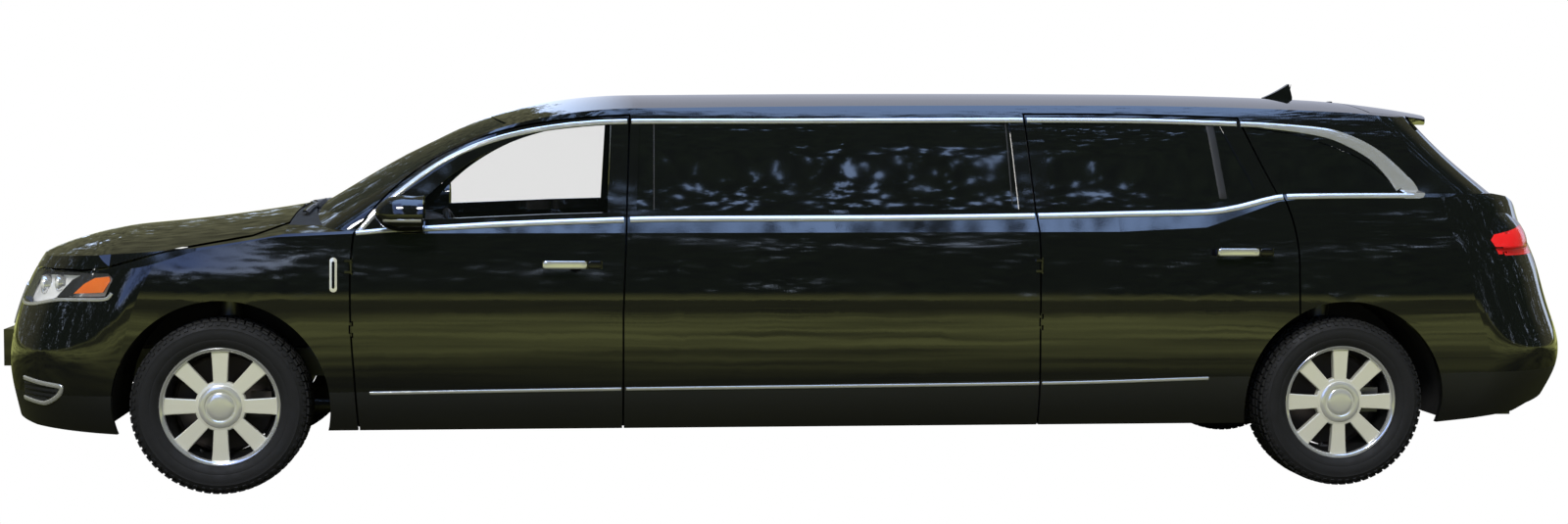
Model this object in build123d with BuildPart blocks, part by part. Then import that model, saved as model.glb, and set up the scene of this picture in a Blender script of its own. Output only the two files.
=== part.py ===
"""Stretch limousine: a crossover with a stretched middle section, built panel by panel.

Millimetres. +X points forward, +Y to the car's left, +Z up. The origin is on the ground,
below the middle of the overall length and width. Places at the front are measured from the
front axle, places at the rear from the rear axle, so that the stretch can change by itself.
"""

import math
import os

from build123d import *

# ---------------------------------------------------------------- driving dimensions
standard_wheelbase = 2995.0  # before the stretch section is let in
stretch_length = 1778.0  # a 70 inch stretch
front_overhang = 1003.0
rear_overhang = 1270.0
body_width = 1930.0
roof_height = 1703.0
sill_height = 268.0  # underside of the body sides
body_wall = 30.0  # lower body panels
cabin_wall = 22.0  # pillars, window frames and roof
door_trim = 45.0  # inner half of a door
shut_gap = 8.0
glass_depth = 5.0  # how far the glass lies below the outer skin
glass_thickness = 5.0
seat_clearance = 0.3  # between a pane, lamp or fitting and its seat

track = 1660.0
tyre_radius = 366.0
tyre_width = 235.0
rim_radius = 245.5
rim_width = 190.0
arch_radius = 442.0
liner_radius = 447.0
liner_thickness = 6.0
spoke_count = 8
spoke_width = 66.0
window_reach = (112.0, 205.0)  # the openings between the spokes, from the wheel's middle
disc_radius = 165.0
disc_thickness = 28.0
shaft_radius = 35.0
shaft_clearance = 0.08

floor_height = 330.0
floor_thickness = 12.0

plate_reach = 50.0  # the front licence plate stands this far ahead of the bumper
plate_spacing = (177.8, 120.65)  # licence plate holes, across and up
plate_hole_radius = 3.5

handle_length = 250.0
handle_y = 990.0
hinge_y = 961.5  # door hinges stand at the outer skin, at the front edge of each door
hinge_pin = 2.5
hinge_bore = 2.56
hinge_barrel = 4.5

king_y = 722.0  # the front wheels steer about upright pins here
pin_radius = 14.0
steer_plate = 26.0

# ---------------------------------------------------------------- derived places
wheelbase = standard_wheelbase + stretch_length
front_axle = (wheelbase + rear_overhang - front_overhang - plate_reach) / 2
rear_axle = front_axle - wheelbase
front_end = front_axle + front_overhang
rear_end = rear_axle - rear_overhang
half_width = body_width / 2
wheel_y = track / 2
half_gap = shut_gap / 2
beyond = 1200.0  # safely outside the body in Y
high = 2400.0  # safely above the roof

os.makedirs("parts", exist_ok=True)


def front(x, z):
    """A side-view point measured from the front axle."""
    return (front_axle + x, z)


def rear(x, z):
    """A side-view point measured from the rear axle."""
    return (rear_axle + x, z)


# ---------------------------------------------------------------- master surfaces
# Each row is a horizontal outline of the lower body: its height, how far the nose lies
# behind the front end, how far the side lies inside half the width, and how far the
# tail lies ahead of the rear end.
LOWER_SECTIONS = [
    # height, nose_back, side_in, tail_ahead
    (190.0, 84.0, 92.0, 150.0),
    (270.0, 40.0, 58.0, 108.0),
    (400.0, 10.0, 15.0, 52.0),
    (600.0, 3.0, 0.0, 0.0),
    (740.0, 38.0, 0.0, 46.0),
    (870.0, 90.0, 4.0, 90.0),
    (1000.0, 168.0, 12.0, 136.0),
    (1150.0, 240.0, 30.0, 208.0),
    (1300.0, 340.0, 58.0, 330.0),
]
# Each row is a horizontal outline of the cabin: its height, half its width, the middle of
# the windscreen measured from the front axle and the middle of the tail glass measured
# from the rear axle.
CABIN_SECTIONS = [
    # height, half_width, windscreen, tail
    (1040.0, 926.0, -90.0, -1100.0),
    (1165.0, 880.0, -300.0, -1036.0),
    (1300.0, 823.0, -520.0, -876.0),
    (1450.0, 757.0, -785.0, -686.0),
    (1570.0, 697.0, -1035.0, -558.0),
    (1640.0, 646.0, -1205.0, -490.0),
    (1710.0, 560.0, -1400.0, -430.0),
]
NOSE_RADIUS, NOSE_CORNER = 1900.0, 550.0
TAIL_RADIUS, TAIL_CORNER = 1400.0, 480.0
SCREEN_RADIUS, SCREEN_CORNER = 1800.0, 150.0
TAIL_GLASS_RADIUS, TAIL_GLASS_CORNER = 1500.0, 210.0
HOOD_CROWN = 4750.0  # radius of the bonnet across the car
ROOF_CROWN = 3600.0  # radius of the roof across the car
hood_thickness = 26.0
roof_thickness = 24.0


def rounded_end(tip, radius, corner, half, facing):
    """Half of one rounded end in plan: an end arc on the centre line, then a corner arc.

    Draws both arcs in the BuildLine in use and returns the point where the side begins.
    facing is +1 for an end that points forward and -1 for one that points back.
    """
    reach = math.sqrt((radius - corner) ** 2 - (half - corner) ** 2)
    middle = tip - facing * radius
    turn = math.atan2(half - corner, reach)
    corner_x = middle + facing * reach
    half_turn = (turn + math.pi / 2) / 2

    def on_end(angle):
        return (middle + facing * radius * math.cos(angle), radius * math.sin(angle))

    side = (corner_x, half)
    on_corner = (
        corner_x + facing * corner * math.cos(half_turn),
        half - corner + corner * math.sin(half_turn),
    )
    if facing > 0:
        ThreePointArc((tip, 0), on_end(turn / 2), on_end(turn))
        ThreePointArc(on_end(turn), on_corner, side)
    else:
        ThreePointArc(side, on_corner, on_end(turn))
        ThreePointArc(on_end(turn), on_end(turn / 2), (tip, 0))
    return side


def plan_outline(nose, nose_arcs, half, tail, tail_arcs):
    """A horizontal outline with rounded ends, as a face on the ground plane."""
    with BuildSketch() as outline:
        with BuildLine():
            start = rounded_end(nose, *nose_arcs, half, 1)
            reach = math.sqrt((tail_arcs[0] - tail_arcs[1]) ** 2 - (half - tail_arcs[1]) ** 2)
            Line(start, (tail + tail_arcs[0] - reach, half))
            rounded_end(tail, *tail_arcs, half, -1)
            mirror(about=Plane.XZ)
        make_face()
    return outline.sketch


def lower_master(inset):
    """The lower body as a solid, each wall moved in by inset."""
    with BuildPart() as master:
        for height, nose_back, side_in, tail_ahead in LOWER_SECTIONS:
            outline = plan_outline(
                front_end - nose_back - inset,
                (NOSE_RADIUS - inset, NOSE_CORNER - inset),
                half_width - side_in - inset,
                rear_end + tail_ahead + inset,
                (TAIL_RADIUS - inset, TAIL_CORNER - inset),
            )
            with BuildSketch(Plane.XY.offset(height)):
                add(outline)
        loft()
    return master.part


def cabin_master(inset):
    """The glasshouse as a solid, each wall moved in by inset."""
    with BuildPart() as master:
        for height, half, screen, tail in CABIN_SECTIONS:
            outline = plan_outline(
                front_axle + screen - 2.0 * inset,
                (SCREEN_RADIUS - inset, SCREEN_CORNER - inset),
                half - 1.1 * inset,
                rear_axle + tail + 1.7 * inset,
                (TAIL_GLASS_RADIUS - inset, TAIL_GLASS_CORNER - inset),
            )
            with BuildSketch(Plane.XY.offset(height)):
                add(outline)
        loft()
    return master.part


def crowned(profile, top, crown_radius, drop):
    """What lies under a side-view curve that is turned about a low axis along the car.

    profile draws the closed region in the BuildLine in use, with heights taken from the
    axis. drop lowers the surface, for an inner skin.
    """
    swing = math.degrees(math.asin(beyond / crown_radius))
    axis_height = top - crown_radius
    tilt = math.radians(swing)
    start = Plane(
        origin=(0, 0, axis_height),
        x_dir=(1, 0, 0),
        z_dir=(0, -math.cos(tilt), math.sin(tilt)),
    )
    with BuildPart() as under:
        with BuildSketch(start):
            with BuildLine():
                profile(crown_radius - top - drop)
            make_face()
        revolve(axis=Axis((0, 0, axis_height), (1, 0, 0)), revolution_arc=2 * swing)
    return under.part


HOOD_TOP = 1190.0  # bonnet line carried back to the foot of the windscreen pillars


def hood_profile(lift):
    """The bonnet's side view, from ahead of the nose back to the front door."""

    def at(x, z):
        return (front_axle + x, z + lift)

    edge = ThreePointArc(at(975, 838), at(888, 940), at(776, 1004))
    edge = TangentArc(at(776, 1004), at(437, 1080), tangent=edge % 1)
    TangentArc(at(437, 1080), at(-266, 1176), tangent=edge % 1)
    Polyline(
        at(-266, 1176),
        at(-560, HOOD_TOP),
        at(-560, 150),
        at(1100, 150),
        at(1100, 700),
        at(975, 838),
    )


def roof_profile(lift):
    """The roof's side view, from inside the windscreen back to the tail glass."""

    def ahead(x, z):
        return (front_axle + x, z + lift)

    def astern(x, z):
        return (rear_axle + x, z + lift)

    edge = ThreePointArc(ahead(-889, 1499), ahead(-1080, 1579), ahead(-1300, 1636))
    edge = TangentArc(ahead(-1300, 1636), ahead(-1700, 1676), tangent=edge % 1)
    edge = TangentArc(ahead(-1700, 1676), astern(900, roof_height), tangent=edge % 1)
    edge = TangentArc(astern(900, roof_height), astern(-45, 1688), tangent=edge % 1)
    TangentArc(astern(-45, 1688), astern(-560, 1636), tangent=edge % 1)
    Polyline(
        astern(-560, 1636),
        astern(-1000, 1500),
        astern(-1500, 900),
        ahead(300, 900),
        ahead(-889, 1499),
    )


# The belt is the foot of the side windows and the crease is the shoulder below it. Each
# row is a point of the belt or the crease in side view.
BELT = [
    front(-556, 1094),
    front(-861, 1119),
    front(-1509, 1150),
    front(-1919, 1162),
    rear(1354, 1180),
    rear(600, 1203),
    rear(450, 1226),
    rear(330, 1258),
    rear(230, 1272),
    rear(-214, 1276),
    rear(-700, 1276),
    rear(-800, 1262),
    rear(-860, 1238),
    rear(-935, 1198),
    rear(-1010, 1156),
    rear(-1070, 1116),
    rear(-1400, 1080),
]
CREASE = [
    front(820, 878),
    front(437, 928),
    front(360, 950),
    front(86, 1029),
    front(-229, 1078),
    front(-560, 1092),
    front(-1700, 1097),
    rear(1000, 1108),
    rear(620, 1124),
    rear(300, 1206),
    rear(120, 1222),
    rear(-1400, 1224),
]
crease_y = 940.0
shoulder_in, shoulder_up = 45.0, 62.0  # the shoulder leans in as it rises


def side_prism(points, low=-beyond, high_y=beyond):
    """A side-view polygon carried across the car from low to high_y."""
    with BuildPart() as prism:
        with BuildSketch(Plane.XZ.offset(-high_y)):
            with BuildLine():
                Polyline(*points, close=True)
            make_face()
        extrude(amount=high_y - low)
    return prism.part


def shoulder_cut(inset):
    """What lies above the leaning shoulder of the left side, moved in by inset."""
    outside = 260.0
    drop = outside * shoulder_up / shoulder_in + 0.4 * inset
    crease = [(x, z - drop) for x, z in CREASE]
    over = [(crease[-1][0], crease[-1][1] + 900), (crease[0][0], crease[0][1] + 900)]
    with BuildPart() as cut:
        with BuildSketch(Plane.XZ.offset(-(crease_y - inset + outside))):
            with BuildLine():
                Polyline(*crease, *over, close=True)
            make_face()
        extrude(
            amount=700,
            dir=(0, -shoulder_in, shoulder_up),
        )
    return cut.part


def under_top(drop):
    """What lies under the bonnet line ahead of the doors and under the belt behind."""
    ahead = crowned(hood_profile, HOOD_TOP, HOOD_CROWN, drop)
    belt = [(x, z - drop) for x, z in BELT]
    first, last = belt[0][0], belt[-1][0]
    behind = side_prism([*belt, (last, 150), (first, 150)])
    return ahead + behind


def lower_solid(inset, drop):
    """The lower body as a solid with its bonnet, belt and shoulders."""
    cut = shoulder_cut(inset)
    return (lower_master(inset) & under_top(drop)) - cut - cut.mirror(Plane.XZ)


def cabin_solid(inset, drop):
    """The glasshouse as a solid with its crowned roof."""
    return cabin_master(inset) & crowned(roof_profile, roof_height, ROOF_CROWN, drop)


lower_outer = lower_solid(0.0, 0.0)
lower_inner = lower_solid(body_wall, hood_thickness)
cabin_outer = cabin_solid(0.0, 0.0)
cabin_inner = cabin_solid(cabin_wall, roof_thickness)


def wheel_bore(axle, radius):
    """A cylinder across the car round an axle, for the wheel arches."""
    with BuildPart() as bore:
        with Locations(Location((axle - 8, 0, tyre_radius), (90, 0, 0))):
            Cylinder(radius, 2 * beyond)
    return bore.part


sill_floor = side_prism(
    [
        front(-380, 0),
        front(-380, sill_height - 6),
        rear(370, sill_height + 8),
        rear(370, 0),
    ]
)
nose_floor = side_prism(
    [
        front(1100, 0),
        front(1100, 400),
        front(984, 362),
        front(948, 316),
        front(890, 286),
        front(780, 268),
        front(370, 246),
        front(370, 0),
    ]
)
tail_floor = side_prism(
    [
        rear(-380, 0),
        rear(-380, 268),
        rear(-560, 288),
        rear(-800, 318),
        rear(-880, 348),
        rear(-1000, 370),
        rear(-1120, 398),
        rear(-1400, 470),
        rear(-1400, 0),
    ]
)
lower_shell = lower_outer - lower_inner - cabin_inner - sill_floor - nose_floor - tail_floor
lower_shell = lower_shell - wheel_bore(front_axle, arch_radius)
lower_shell = lower_shell - wheel_bore(rear_axle, arch_radius)
cabin_shell = cabin_outer - cabin_inner - lower_outer
body_shell = lower_shell + cabin_shell



# ---------------------------------------------------------------- panels in side view
# Each outline is a list of corners; a corner with a second point is reached by an arc
# through that second point, every other corner by a straight line.
FRONT_DOOR = [
    (front(-569, 150),),
    (front(-548, 513),),
    (front(-533, 837), front(-536, 690)),
    (front(-548, 1086), front(-536, 970)),
    (front(-876, 1399), front(-690, 1258)),
    (front(-1300, 1546), front(-1075, 1489)),
    (front(-1687, 1584), front(-1490, 1571)),
    (front(-1671, 1165),),
    (front(-1657, 756),),
    (front(-1659, 150),),
]
STRETCH_PANEL = [
    (front(-1659, 150),),
    (front(-1657, 756),),
    (front(-1671, 1165),),
    (front(-1687, 1584),),
    (rear(1372, 1604), front(-2550, 1594)),
    (rear(1353, 1182),),
    (rear(1345, 1007),),
    (rear(1344, 672),),
    (rear(1337, 150),),
]
REAR_DOOR = [
    (rear(1337, 150),),
    (rear(1344, 672),),
    (rear(1345, 1007),),
    (rear(1353, 1182),),
    (rear(1372, 1604),),
    (rear(413, 1597), rear(811, 1606)),
    (rear(275, 1263), rear(343, 1418)),
    (rear(209, 924), rear(226, 1110)),
    (rear(205, 762),),
    (rear(205, 150),),
]
QUARTER_PANEL = [
    (rear(205, 150),),
    (rear(205, 762),),
    (rear(209, 924),),
    (rear(275, 1263), rear(226, 1110)),
    (rear(413, 1597), rear(343, 1418)),
    (rear(-213, 1590),),
    (rear(-213, 1900),),
    (rear(-1500, 1900),),
    (rear(-1500, 150),),
]
REAR_BUMPER = [
    (rear(-200, 749),),
    (rear(-755, 764),),
    (rear(-785, 797),),
    (rear(-737, 1006),),
    (rear(-1500, 1006),),
    (rear(-1500, 150),),
    (rear(-200, 150),),
]
TAIL_LAMP = [
    (rear(-697, 1080),),
    (rear(-722, 1106),),
    (rear(-842, 1132),),
    (rear(-1500, 1132),),
    (rear(-1500, 1006),),
    (rear(-737, 1006),),
]
HOOD = [
    (front(-262, 1900),),
    (front(-262, 1119),),
    (front(-129, 1071),),
    (front(111, 1028),),
    (front(310, 980), front(215, 1006)),
    (front(437, 944),),
    (front(600, 926), front(520, 929)),
    (front(790, 920),),
    (front(1200, 868),),
    (front(1200, 1900),),
]
COWL = [
    (front(-262, 1900),),
    (front(-262, 1112),),
    (front(-560, 1112),),
    (front(-560, 1900),),
]
FENDER = [
    (front(-569, 150),),
    (front(-548, 513),),
    (front(-533, 837), front(-536, 690)),
    (front(-548, 1086), front(-536, 970)),
    (front(-600, 1150),),
    (front(-600, 1900),),
    (front(1200, 1900),),
    (front(1200, 822),),
    (front(450, 822),),
    (front(428, 700),),
    (front(340, 500),),
    (front(340, 150),),
]
HEADLAMP = [
    (front(420, 896),),
    (front(440, 917),),
    (front(600, 917),),
    (front(788, 911),),
    (front(900, 893),),
    (front(900, 800),),
    (front(781, 779),),
    (front(656, 815),),
    (front(452, 823),),
]
WINDSCREEN = [
    (front(-180, 1163),),
    (front(-470, 1163),),
    (front(-643, 1265),),
    (front(-822, 1378),),
    (front(-1010, 1478),),
    (front(-1165, 1544),),
    (front(-1062, 1582),),
    (front(-800, 1640),),
    (front(-180, 1400),),
]
# The window openings, again in side view.
FRONT_WINDOW = [
    (front(-756, 1138),),
    (front(-936, 1322), front(-838, 1234)),
    (front(-1330, 1512), front(-1118, 1434)),
    (front(-1606, 1541), front(-1470, 1530)),
    (front(-1590, 1174),),
    (front(-1340, 1166),),
]
STRETCH_WINDOW = [
    (front(-1712, 1181),),
    (front(-1728, 1547),),
    (rear(1440, 1566),),
    (rear(1425, 1196),),
]
REAR_WINDOW = [
    (rear(1278, 1201),),
    (rear(1296, 1566),),
    (rear(500, 1562), rear(890, 1569)),
    (rear(375, 1290), rear(436, 1420)),
    (rear(440, 1262),),
    (rear(560, 1228),),
    (rear(700, 1212),),
]
QUARTER_WINDOW = [
    (rear(250, 1291),),
    (rear(378, 1556), rear(316, 1430)),
    (rear(170, 1531),),
    (rear(-80, 1445), rear(60, 1497)),
    (rear(-262, 1302), rear(-180, 1382)),
    (rear(-262, 1291),),
]
# The tail gate and its window, and the grille and intake, in end view: y, height.
TAILGATE = [(600, 1900), (612, 1600), (652, 1380), (664, 1230), (664, 700)]
TAILGATE_WINDOW = [(516, 1540), (556, 1430), (588, 1290)]
GRILLE = [(500, 838), (430, 660)]
INTAKE = [(470, 440), (400, 330)]


def side_face(rows, grow=0.0):
    """An outline of the side view as a face on the XZ plane, grown by grow."""
    with BuildSketch() as face:
        with BuildLine():
            last = rows[-1][0]
            for row in rows:
                if len(row) == 2:
                    ThreePointArc(last, row[1], row[0])
                else:
                    Line(last, row[0])
                last = row[0]
        make_face()
        if grow:
            offset(amount=grow, kind=Kind.INTERSECTION)
    return face.sketch


def across(rows, grow=0.0, low=-beyond, far=beyond):
    """An outline of the side view carried across the car from low to far."""
    face = side_face(rows, grow)
    with BuildPart() as prism:
        with BuildSketch(Plane.XZ.offset(-far)):
            add(face)
        extrude(amount=far - low)
    return prism.part


def along(points, start, end, grow=0.0):
    """A symmetrical outline of the end view carried along the car from start to end."""
    with BuildPart() as prism:
        with BuildSketch(Plane(origin=(start, 0, 0), x_dir=(0, 1, 0), z_dir=(1, 0, 0))):
            with BuildLine():
                Polyline(*points, *[(-y, z) for y, z in reversed(points)], close=True)
            make_face()
            if grow:
                offset(amount=grow, kind=Kind.INTERSECTION)
        extrude(amount=end - start)
    return prism.part


def block(x0, x1, y0, y1, z0, z1):
    """A plain block between two corners."""
    with BuildPart() as piece:
        with Locations(((x0 + x1) / 2, (y0 + y1) / 2, (z0 + z1) / 2)):
            Box(abs(x1 - x0), abs(y1 - y0), abs(z1 - z0))
    return piece.part


def both_sides(piece):
    """The piece and its mirror image across the car."""
    return piece + piece.mirror(Plane.XZ)


def save(piece, name):
    """Write one part as a STEP file under its name."""
    piece.label = name
    export_step(piece, f"parts/{name}.step")


left_side = block(rear_end - 200, front_end + 300, 0, beyond, -100, high)
left_shell = body_shell & left_side
left_cabin = cabin_inner & left_side
glass_layer = cabin_solid(glass_depth, glass_depth) - cabin_solid(
    glass_depth + glass_thickness, glass_depth + glass_thickness
)
left_glass = glass_layer & left_side
tailgate_reach = (rear_end - 100, rear_axle - 213)
tail_hinge_x, tail_hinge_z = rear_axle - 221, 1677.0
hood_hinge_x, hood_hinge_z = front_axle - 258, 1171.0



def rod(centre, axis, radius, length):
    """A cylinder about a point, along X, Y or Z."""
    turn = {"x": (0, 90, 0), "y": (90, 0, 0), "z": (0, 0, 0)}[axis]
    with BuildPart() as piece:
        with Locations(Location(centre, turn)):
            Cylinder(radius, length)
    return piece.part


def hinged(moving, fixed, centre, axis, leaf):
    """Joins a moving panel to a fixed one with a pin hinge, and returns both.

    leaf is the step from the pin to the middle of the fixed panel's edge.
    """
    step = Vector(1, 0, 0) if axis == "x" else Vector(0, 1, 0) if axis == "y" else Vector(0, 0, 1)
    middle = Vector(*centre)
    fixed = fixed - rod(centre, axis, hinge_barrel + 5.5, 36)
    moving = moving + rod(centre, axis, hinge_barrel, 24)
    moving = moving - rod(centre, axis, hinge_bore, 80)
    pins = rod(centre, axis, hinge_pin, 58)
    for way in (-1, 1):
        seat_point = middle + step * (24 * way)
        ear_point = middle + step * (23 * way)
        moving = moving - rod(tuple(seat_point), axis, hinge_barrel + 5.5, 21)
        pins = pins + rod(tuple(ear_point), axis, hinge_barrel - 0.5, 10)
        reach = Vector(*leaf)
        low = ear_point - step * 5
        far = ear_point + step * 5 + reach
        across_way = Vector(0, 0, 1) if abs(leaf[2]) < 1e-6 and axis == "y" else Vector(0, 1, 0)
        low = low - across_way * 10
        far = far + across_way * 1
        pins = pins + block(low.X, far.X, low.Y, far.Y, low.Z, far.Z)
    return moving, fixed + pins


# ---------------------------------------------------------------- body panels
front_door_cut = across(FRONT_DOOR, half_gap, 0)
rear_door_cut = across(REAR_DOOR, half_gap, 0)
hood_cut = across(HOOD, half_gap)
tailgate_cut = along(TAILGATE, *tailgate_reach, half_gap)
tail_seam = block(rear_end - 100, rear_axle - 209, -900, 900, 1560, 1900)
lamp_side = block(rear_end - 100, 0, 664 + half_gap, beyond, 900, 1300)
tail_lamp_seat = across(TAIL_LAMP, 0.0, 664 + half_gap)
headlamp_seat = across(HEADLAMP, 0.0, 560)

nose_room = block(front_axle + 700, front_end + 200, -560, 560, 0, 1200)
fender = (left_shell & across(FENDER, 0.0, 0)) - hood_cut - across(COWL) - front_door_cut
fender = fender - nose_room
fender = fender - across(WINDSCREEN) - headlamp_seat - cabin_outer

stretch = left_shell & across(STRETCH_PANEL, 0.0, 0)
stretch = stretch - front_door_cut - rear_door_cut - across(STRETCH_WINDOW, 0.0, 0)

quarter = left_shell & across(QUARTER_PANEL, 0.0, 0)
quarter = quarter - rear_door_cut - tailgate_cut - tail_lamp_seat
quarter = quarter - across(REAR_BUMPER) - across(QUARTER_WINDOW, 0.0, 0)
save(quarter, "quarter_panel_left")
save(quarter.mirror(Plane.XZ), "quarter_panel_right")

rear_bumper = (body_shell & across(REAR_BUMPER)) - tailgate_cut
save(rear_bumper, "rear_bumper")

nose_mask = (across(FENDER) - nose_room) + hood_cut + across(COWL)
front_bumper = (lower_shell & block(front_axle + 300, front_end + 200, -beyond, beyond, 0, 1200)) - nose_mask
front_bumper = front_bumper - headlamp_seat - headlamp_seat.mirror(Plane.XZ)
front_bumper = front_bumper - along(GRILLE, front_axle + 700, front_end + 200)
front_bumper = front_bumper - along(INTAKE, front_axle + 700, front_end + 200)
bracket = block(front_end - 24, front_end + plate_reach, -165, 165, 452, 614)
bracket = bracket - block(front_end - 60, front_end + plate_reach - 12, -120, 120, 480, 590)
front_bumper = front_bumper + bracket
with BuildPart() as nose_holes:
    with Locations(Location((front_end + plate_reach, 0, 533), (0, 90, 0))):
        with GridLocations(plate_spacing[1], plate_spacing[0], 2, 2):
            Cylinder(plate_hole_radius, 48)
front_bumper = front_bumper - nose_holes.part
save(front_bumper, "front_bumper")

bars = lower_shell & along(GRILLE, front_axle + 700, front_end + 200, -seat_clearance)
for column in range(-9, 10):
    if column == 0:
        continue
    y = column * 44.0
    reach = 150.0 - abs(column) * 3.0
    bars = bars - block(front_axle + 600, front_end + 200, y - 14, y + 14, 676, 676 + reach)
slats = lower_shell & along(INTAKE, front_axle + 700, front_end + 200, -seat_clearance)
for row in range(3):
    z = 346.0 + 30.0 * row
    slats = slats - block(front_axle + 600, front_end + 200, -370, -12, z, z + 18)
    slats = slats - block(front_axle + 600, front_end + 200, 12, 370, z, z + 18)
save(bars + slats, "grille")

side_masks = both_sides(
    across(FRONT_DOOR, half_gap, 0)
    + across(STRETCH_PANEL, 0.0, 0)
    + across(REAR_DOOR, half_gap, 0)
    + across(QUARTER_PANEL, 0.0, 0)
)
roof = cabin_shell - side_masks - across(WINDSCREEN) - tailgate_cut
roof = roof - block(rear_end - 100, rear_axle - 213, -beyond, beyond, 1000, 1900)

hood = body_shell & across(HOOD, -half_gap)

tailgate = body_shell & along(TAILGATE, rear_end - 100, rear_axle - 213 - shut_gap, -half_gap)
tailgate_pane = glass_layer & along(
    TAILGATE_WINDOW, rear_end - 100, rear_axle - 400, -seat_clearance
)
tailgate = tailgate - along(TAILGATE_WINDOW, rear_end - 100, rear_axle - 400)
spoiler = across(
    [
        (rear(-380, 1640),),
        (rear(-500, 1665),),
        (rear(-560, 1645),),
        (rear(-603, 1604),),
        (rear(-598, 1588),),
        (rear(-530, 1574),),
        (rear(-400, 1610),),
    ],
    0.0,
    -590,
    590,
)
with BuildPart() as spoiler_plan:
    with Locations((rear_axle - 603 + 1500, 0, 1600)):
        Cylinder(1500, 400)
spoiler = spoiler & spoiler_plan.part & crowned(roof_profile, roof_height, ROOF_CROWN, 0.0)
plate_pad = block(rear_end + 84, rear_end + 140, -165, 165, 862, 1012)
tailgate = tailgate + (spoiler - cabin_inner) + plate_pad
with BuildPart() as tail_holes:
    with Locations(Location((rear_end + 84, 0, 937), (0, 90, 0))):
        with GridLocations(plate_spacing[1], plate_spacing[0], 2, 2):
            Cylinder(plate_hole_radius, 40)
tailgate = tailgate - tail_holes.part
for y in (-90, 90):
    tailgate, roof = hinged(tailgate, roof, (tail_hinge_x, y, tail_hinge_z), "y", (26, 0, 0))
save(roof, "roof")
save(tailgate, "tailgate")
save(tailgate_pane, "tailgate_glass")

# ---------------------------------------------------------------- doors
def handled(panel, x, z):
    """The door panel with a bar handle over a round finger recess, its middle at x, z."""
    with BuildPart() as bar:
        with Locations((x, handle_y, z)):
            Box(handle_length, 15, 32)
        fillet(bar.edges().filter_by(Axis.Z), radius=6)
    for way in (-1, 1):
        foot = x + way * (handle_length / 2 - 24)
        bar = (bar if isinstance(bar, Part) else bar.part) + block(
            foot - 15, foot + 15, half_width - 16, handle_y, z - 11, z + 11
        )
    with BuildPart() as recess:
        with Locations((x - 14, half_width + 46, z - 6)):
            Sphere(60)
    return panel - recess.part + bar


door = left_shell & across(FRONT_DOOR, -half_gap, 0)
door = door - across(FRONT_WINDOW, 0.0, 0)
trim = block(front_axle - 1625, front_axle - 600, 882, 960, 440, 1080) & lower_inner
rest = block(front_axle - 1500, front_axle - 900, 815, 884, 745, 800)
door = handled(door + trim + rest, front_axle - 1444, 961)
for z in (690, 950):
    place = (front_axle - 537, hinge_y, z)
    door, fender = hinged(door, fender, place, "z", (26, 0, 0))
save(fender, "fender_left")
save(fender.mirror(Plane.XZ), "fender_right")
save(door, "door_front_left")
save(door.mirror(Plane.XZ), "door_front_right")
pane = left_glass & across(FRONT_WINDOW, -seat_clearance, 0)
save(pane, "glass_front_left")
save(pane.mirror(Plane.XZ), "glass_front_right")

door = left_shell & across(REAR_DOOR, -half_gap, 0)
door = door - across(REAR_WINDOW, 0.0, 0)
trim = block(rear_axle + 260, rear_axle + 1300, 882, 960, 440, 1095) & lower_inner
trim = trim - wheel_bore(rear_axle, liner_radius + 40)
rest = block(rear_axle + 620, rear_axle + 1180, 815, 884, 765, 820)
door = handled(door + trim + rest, rear_axle + 463, 1022)
for z in (720, 960):
    place = (rear_axle + 1341, hinge_y, z)
    door, stretch = hinged(door, stretch, place, "z", (26, 0, 0))
save(stretch, "stretch_panel_left")
save(stretch.mirror(Plane.XZ), "stretch_panel_right")
save(door, "door_rear_left")
save(door.mirror(Plane.XZ), "door_rear_right")
pane = left_glass & across(REAR_WINDOW, -seat_clearance, 0)
save(pane, "glass_rear_left")
save(pane.mirror(Plane.XZ), "glass_rear_right")

# ---------------------------------------------------------------- fixed glass and lamps
pane = left_glass & across(STRETCH_WINDOW, -seat_clearance, 0)
save(both_sides(pane), "stretch_glass")
pane = left_glass & across(QUARTER_WINDOW, -seat_clearance, 0)
save(both_sides(pane), "quarter_glass")
save(glass_layer & across(WINDSCREEN, -seat_clearance), "windscreen")
lamp = left_shell & across(HEADLAMP, -seat_clearance, 560 + seat_clearance)
save(both_sides(lamp), "headlamps")
lamp = left_shell & across(TAIL_LAMP, -seat_clearance, 664 + half_gap + seat_clearance)
save(both_sides(lamp), "tail_lamps")

# ---------------------------------------------------------------- mirrors and antenna
# each row is a section of the mirror shell: its place, half its width and half its height
MIRROR_SECTIONS = [(-642, 16, 12), (-656, 47, 38), (-690, 72, 62), (-745, 85, 74), (-838, 88, 76)]
with BuildPart() as housing:
    for x, wide, tall in MIRROR_SECTIONS:
        with BuildSketch(
            Plane(origin=(front_axle + x, 1002, 1171), x_dir=(0, 1, 0), z_dir=(1, 0, 0))
        ):
            Ellipse(wide, tall)
    loft()
    glass_plane = Plane(origin=(front_axle - 838, 1002, 1171), x_dir=(0, 1, 0), z_dir=(1, 0, 0))
    with BuildSketch(glass_plane):
        Ellipse(80, 68)
    extrude(amount=9, mode=Mode.SUBTRACT)
    with Locations((front_axle - 745, 925, 1128)):
        Box(96, 110, 30)
mirror_left = housing.part - left_shell - cabin_inner
save(mirror_left, "mirror_left")
save(mirror_left.mirror(Plane.XZ), "mirror_right")

fin = across(
    [
        (rear(72, 1640),),
        (rear(72, 1697),),
        (rear(-49, 1762), rear(18, 1722)),
        (rear(-66, 1700),),
        (rear(-66, 1640),),
    ],
    0.0,
    -17,
    17,
)
save(fin - cabin_outer, "antenna")

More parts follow.
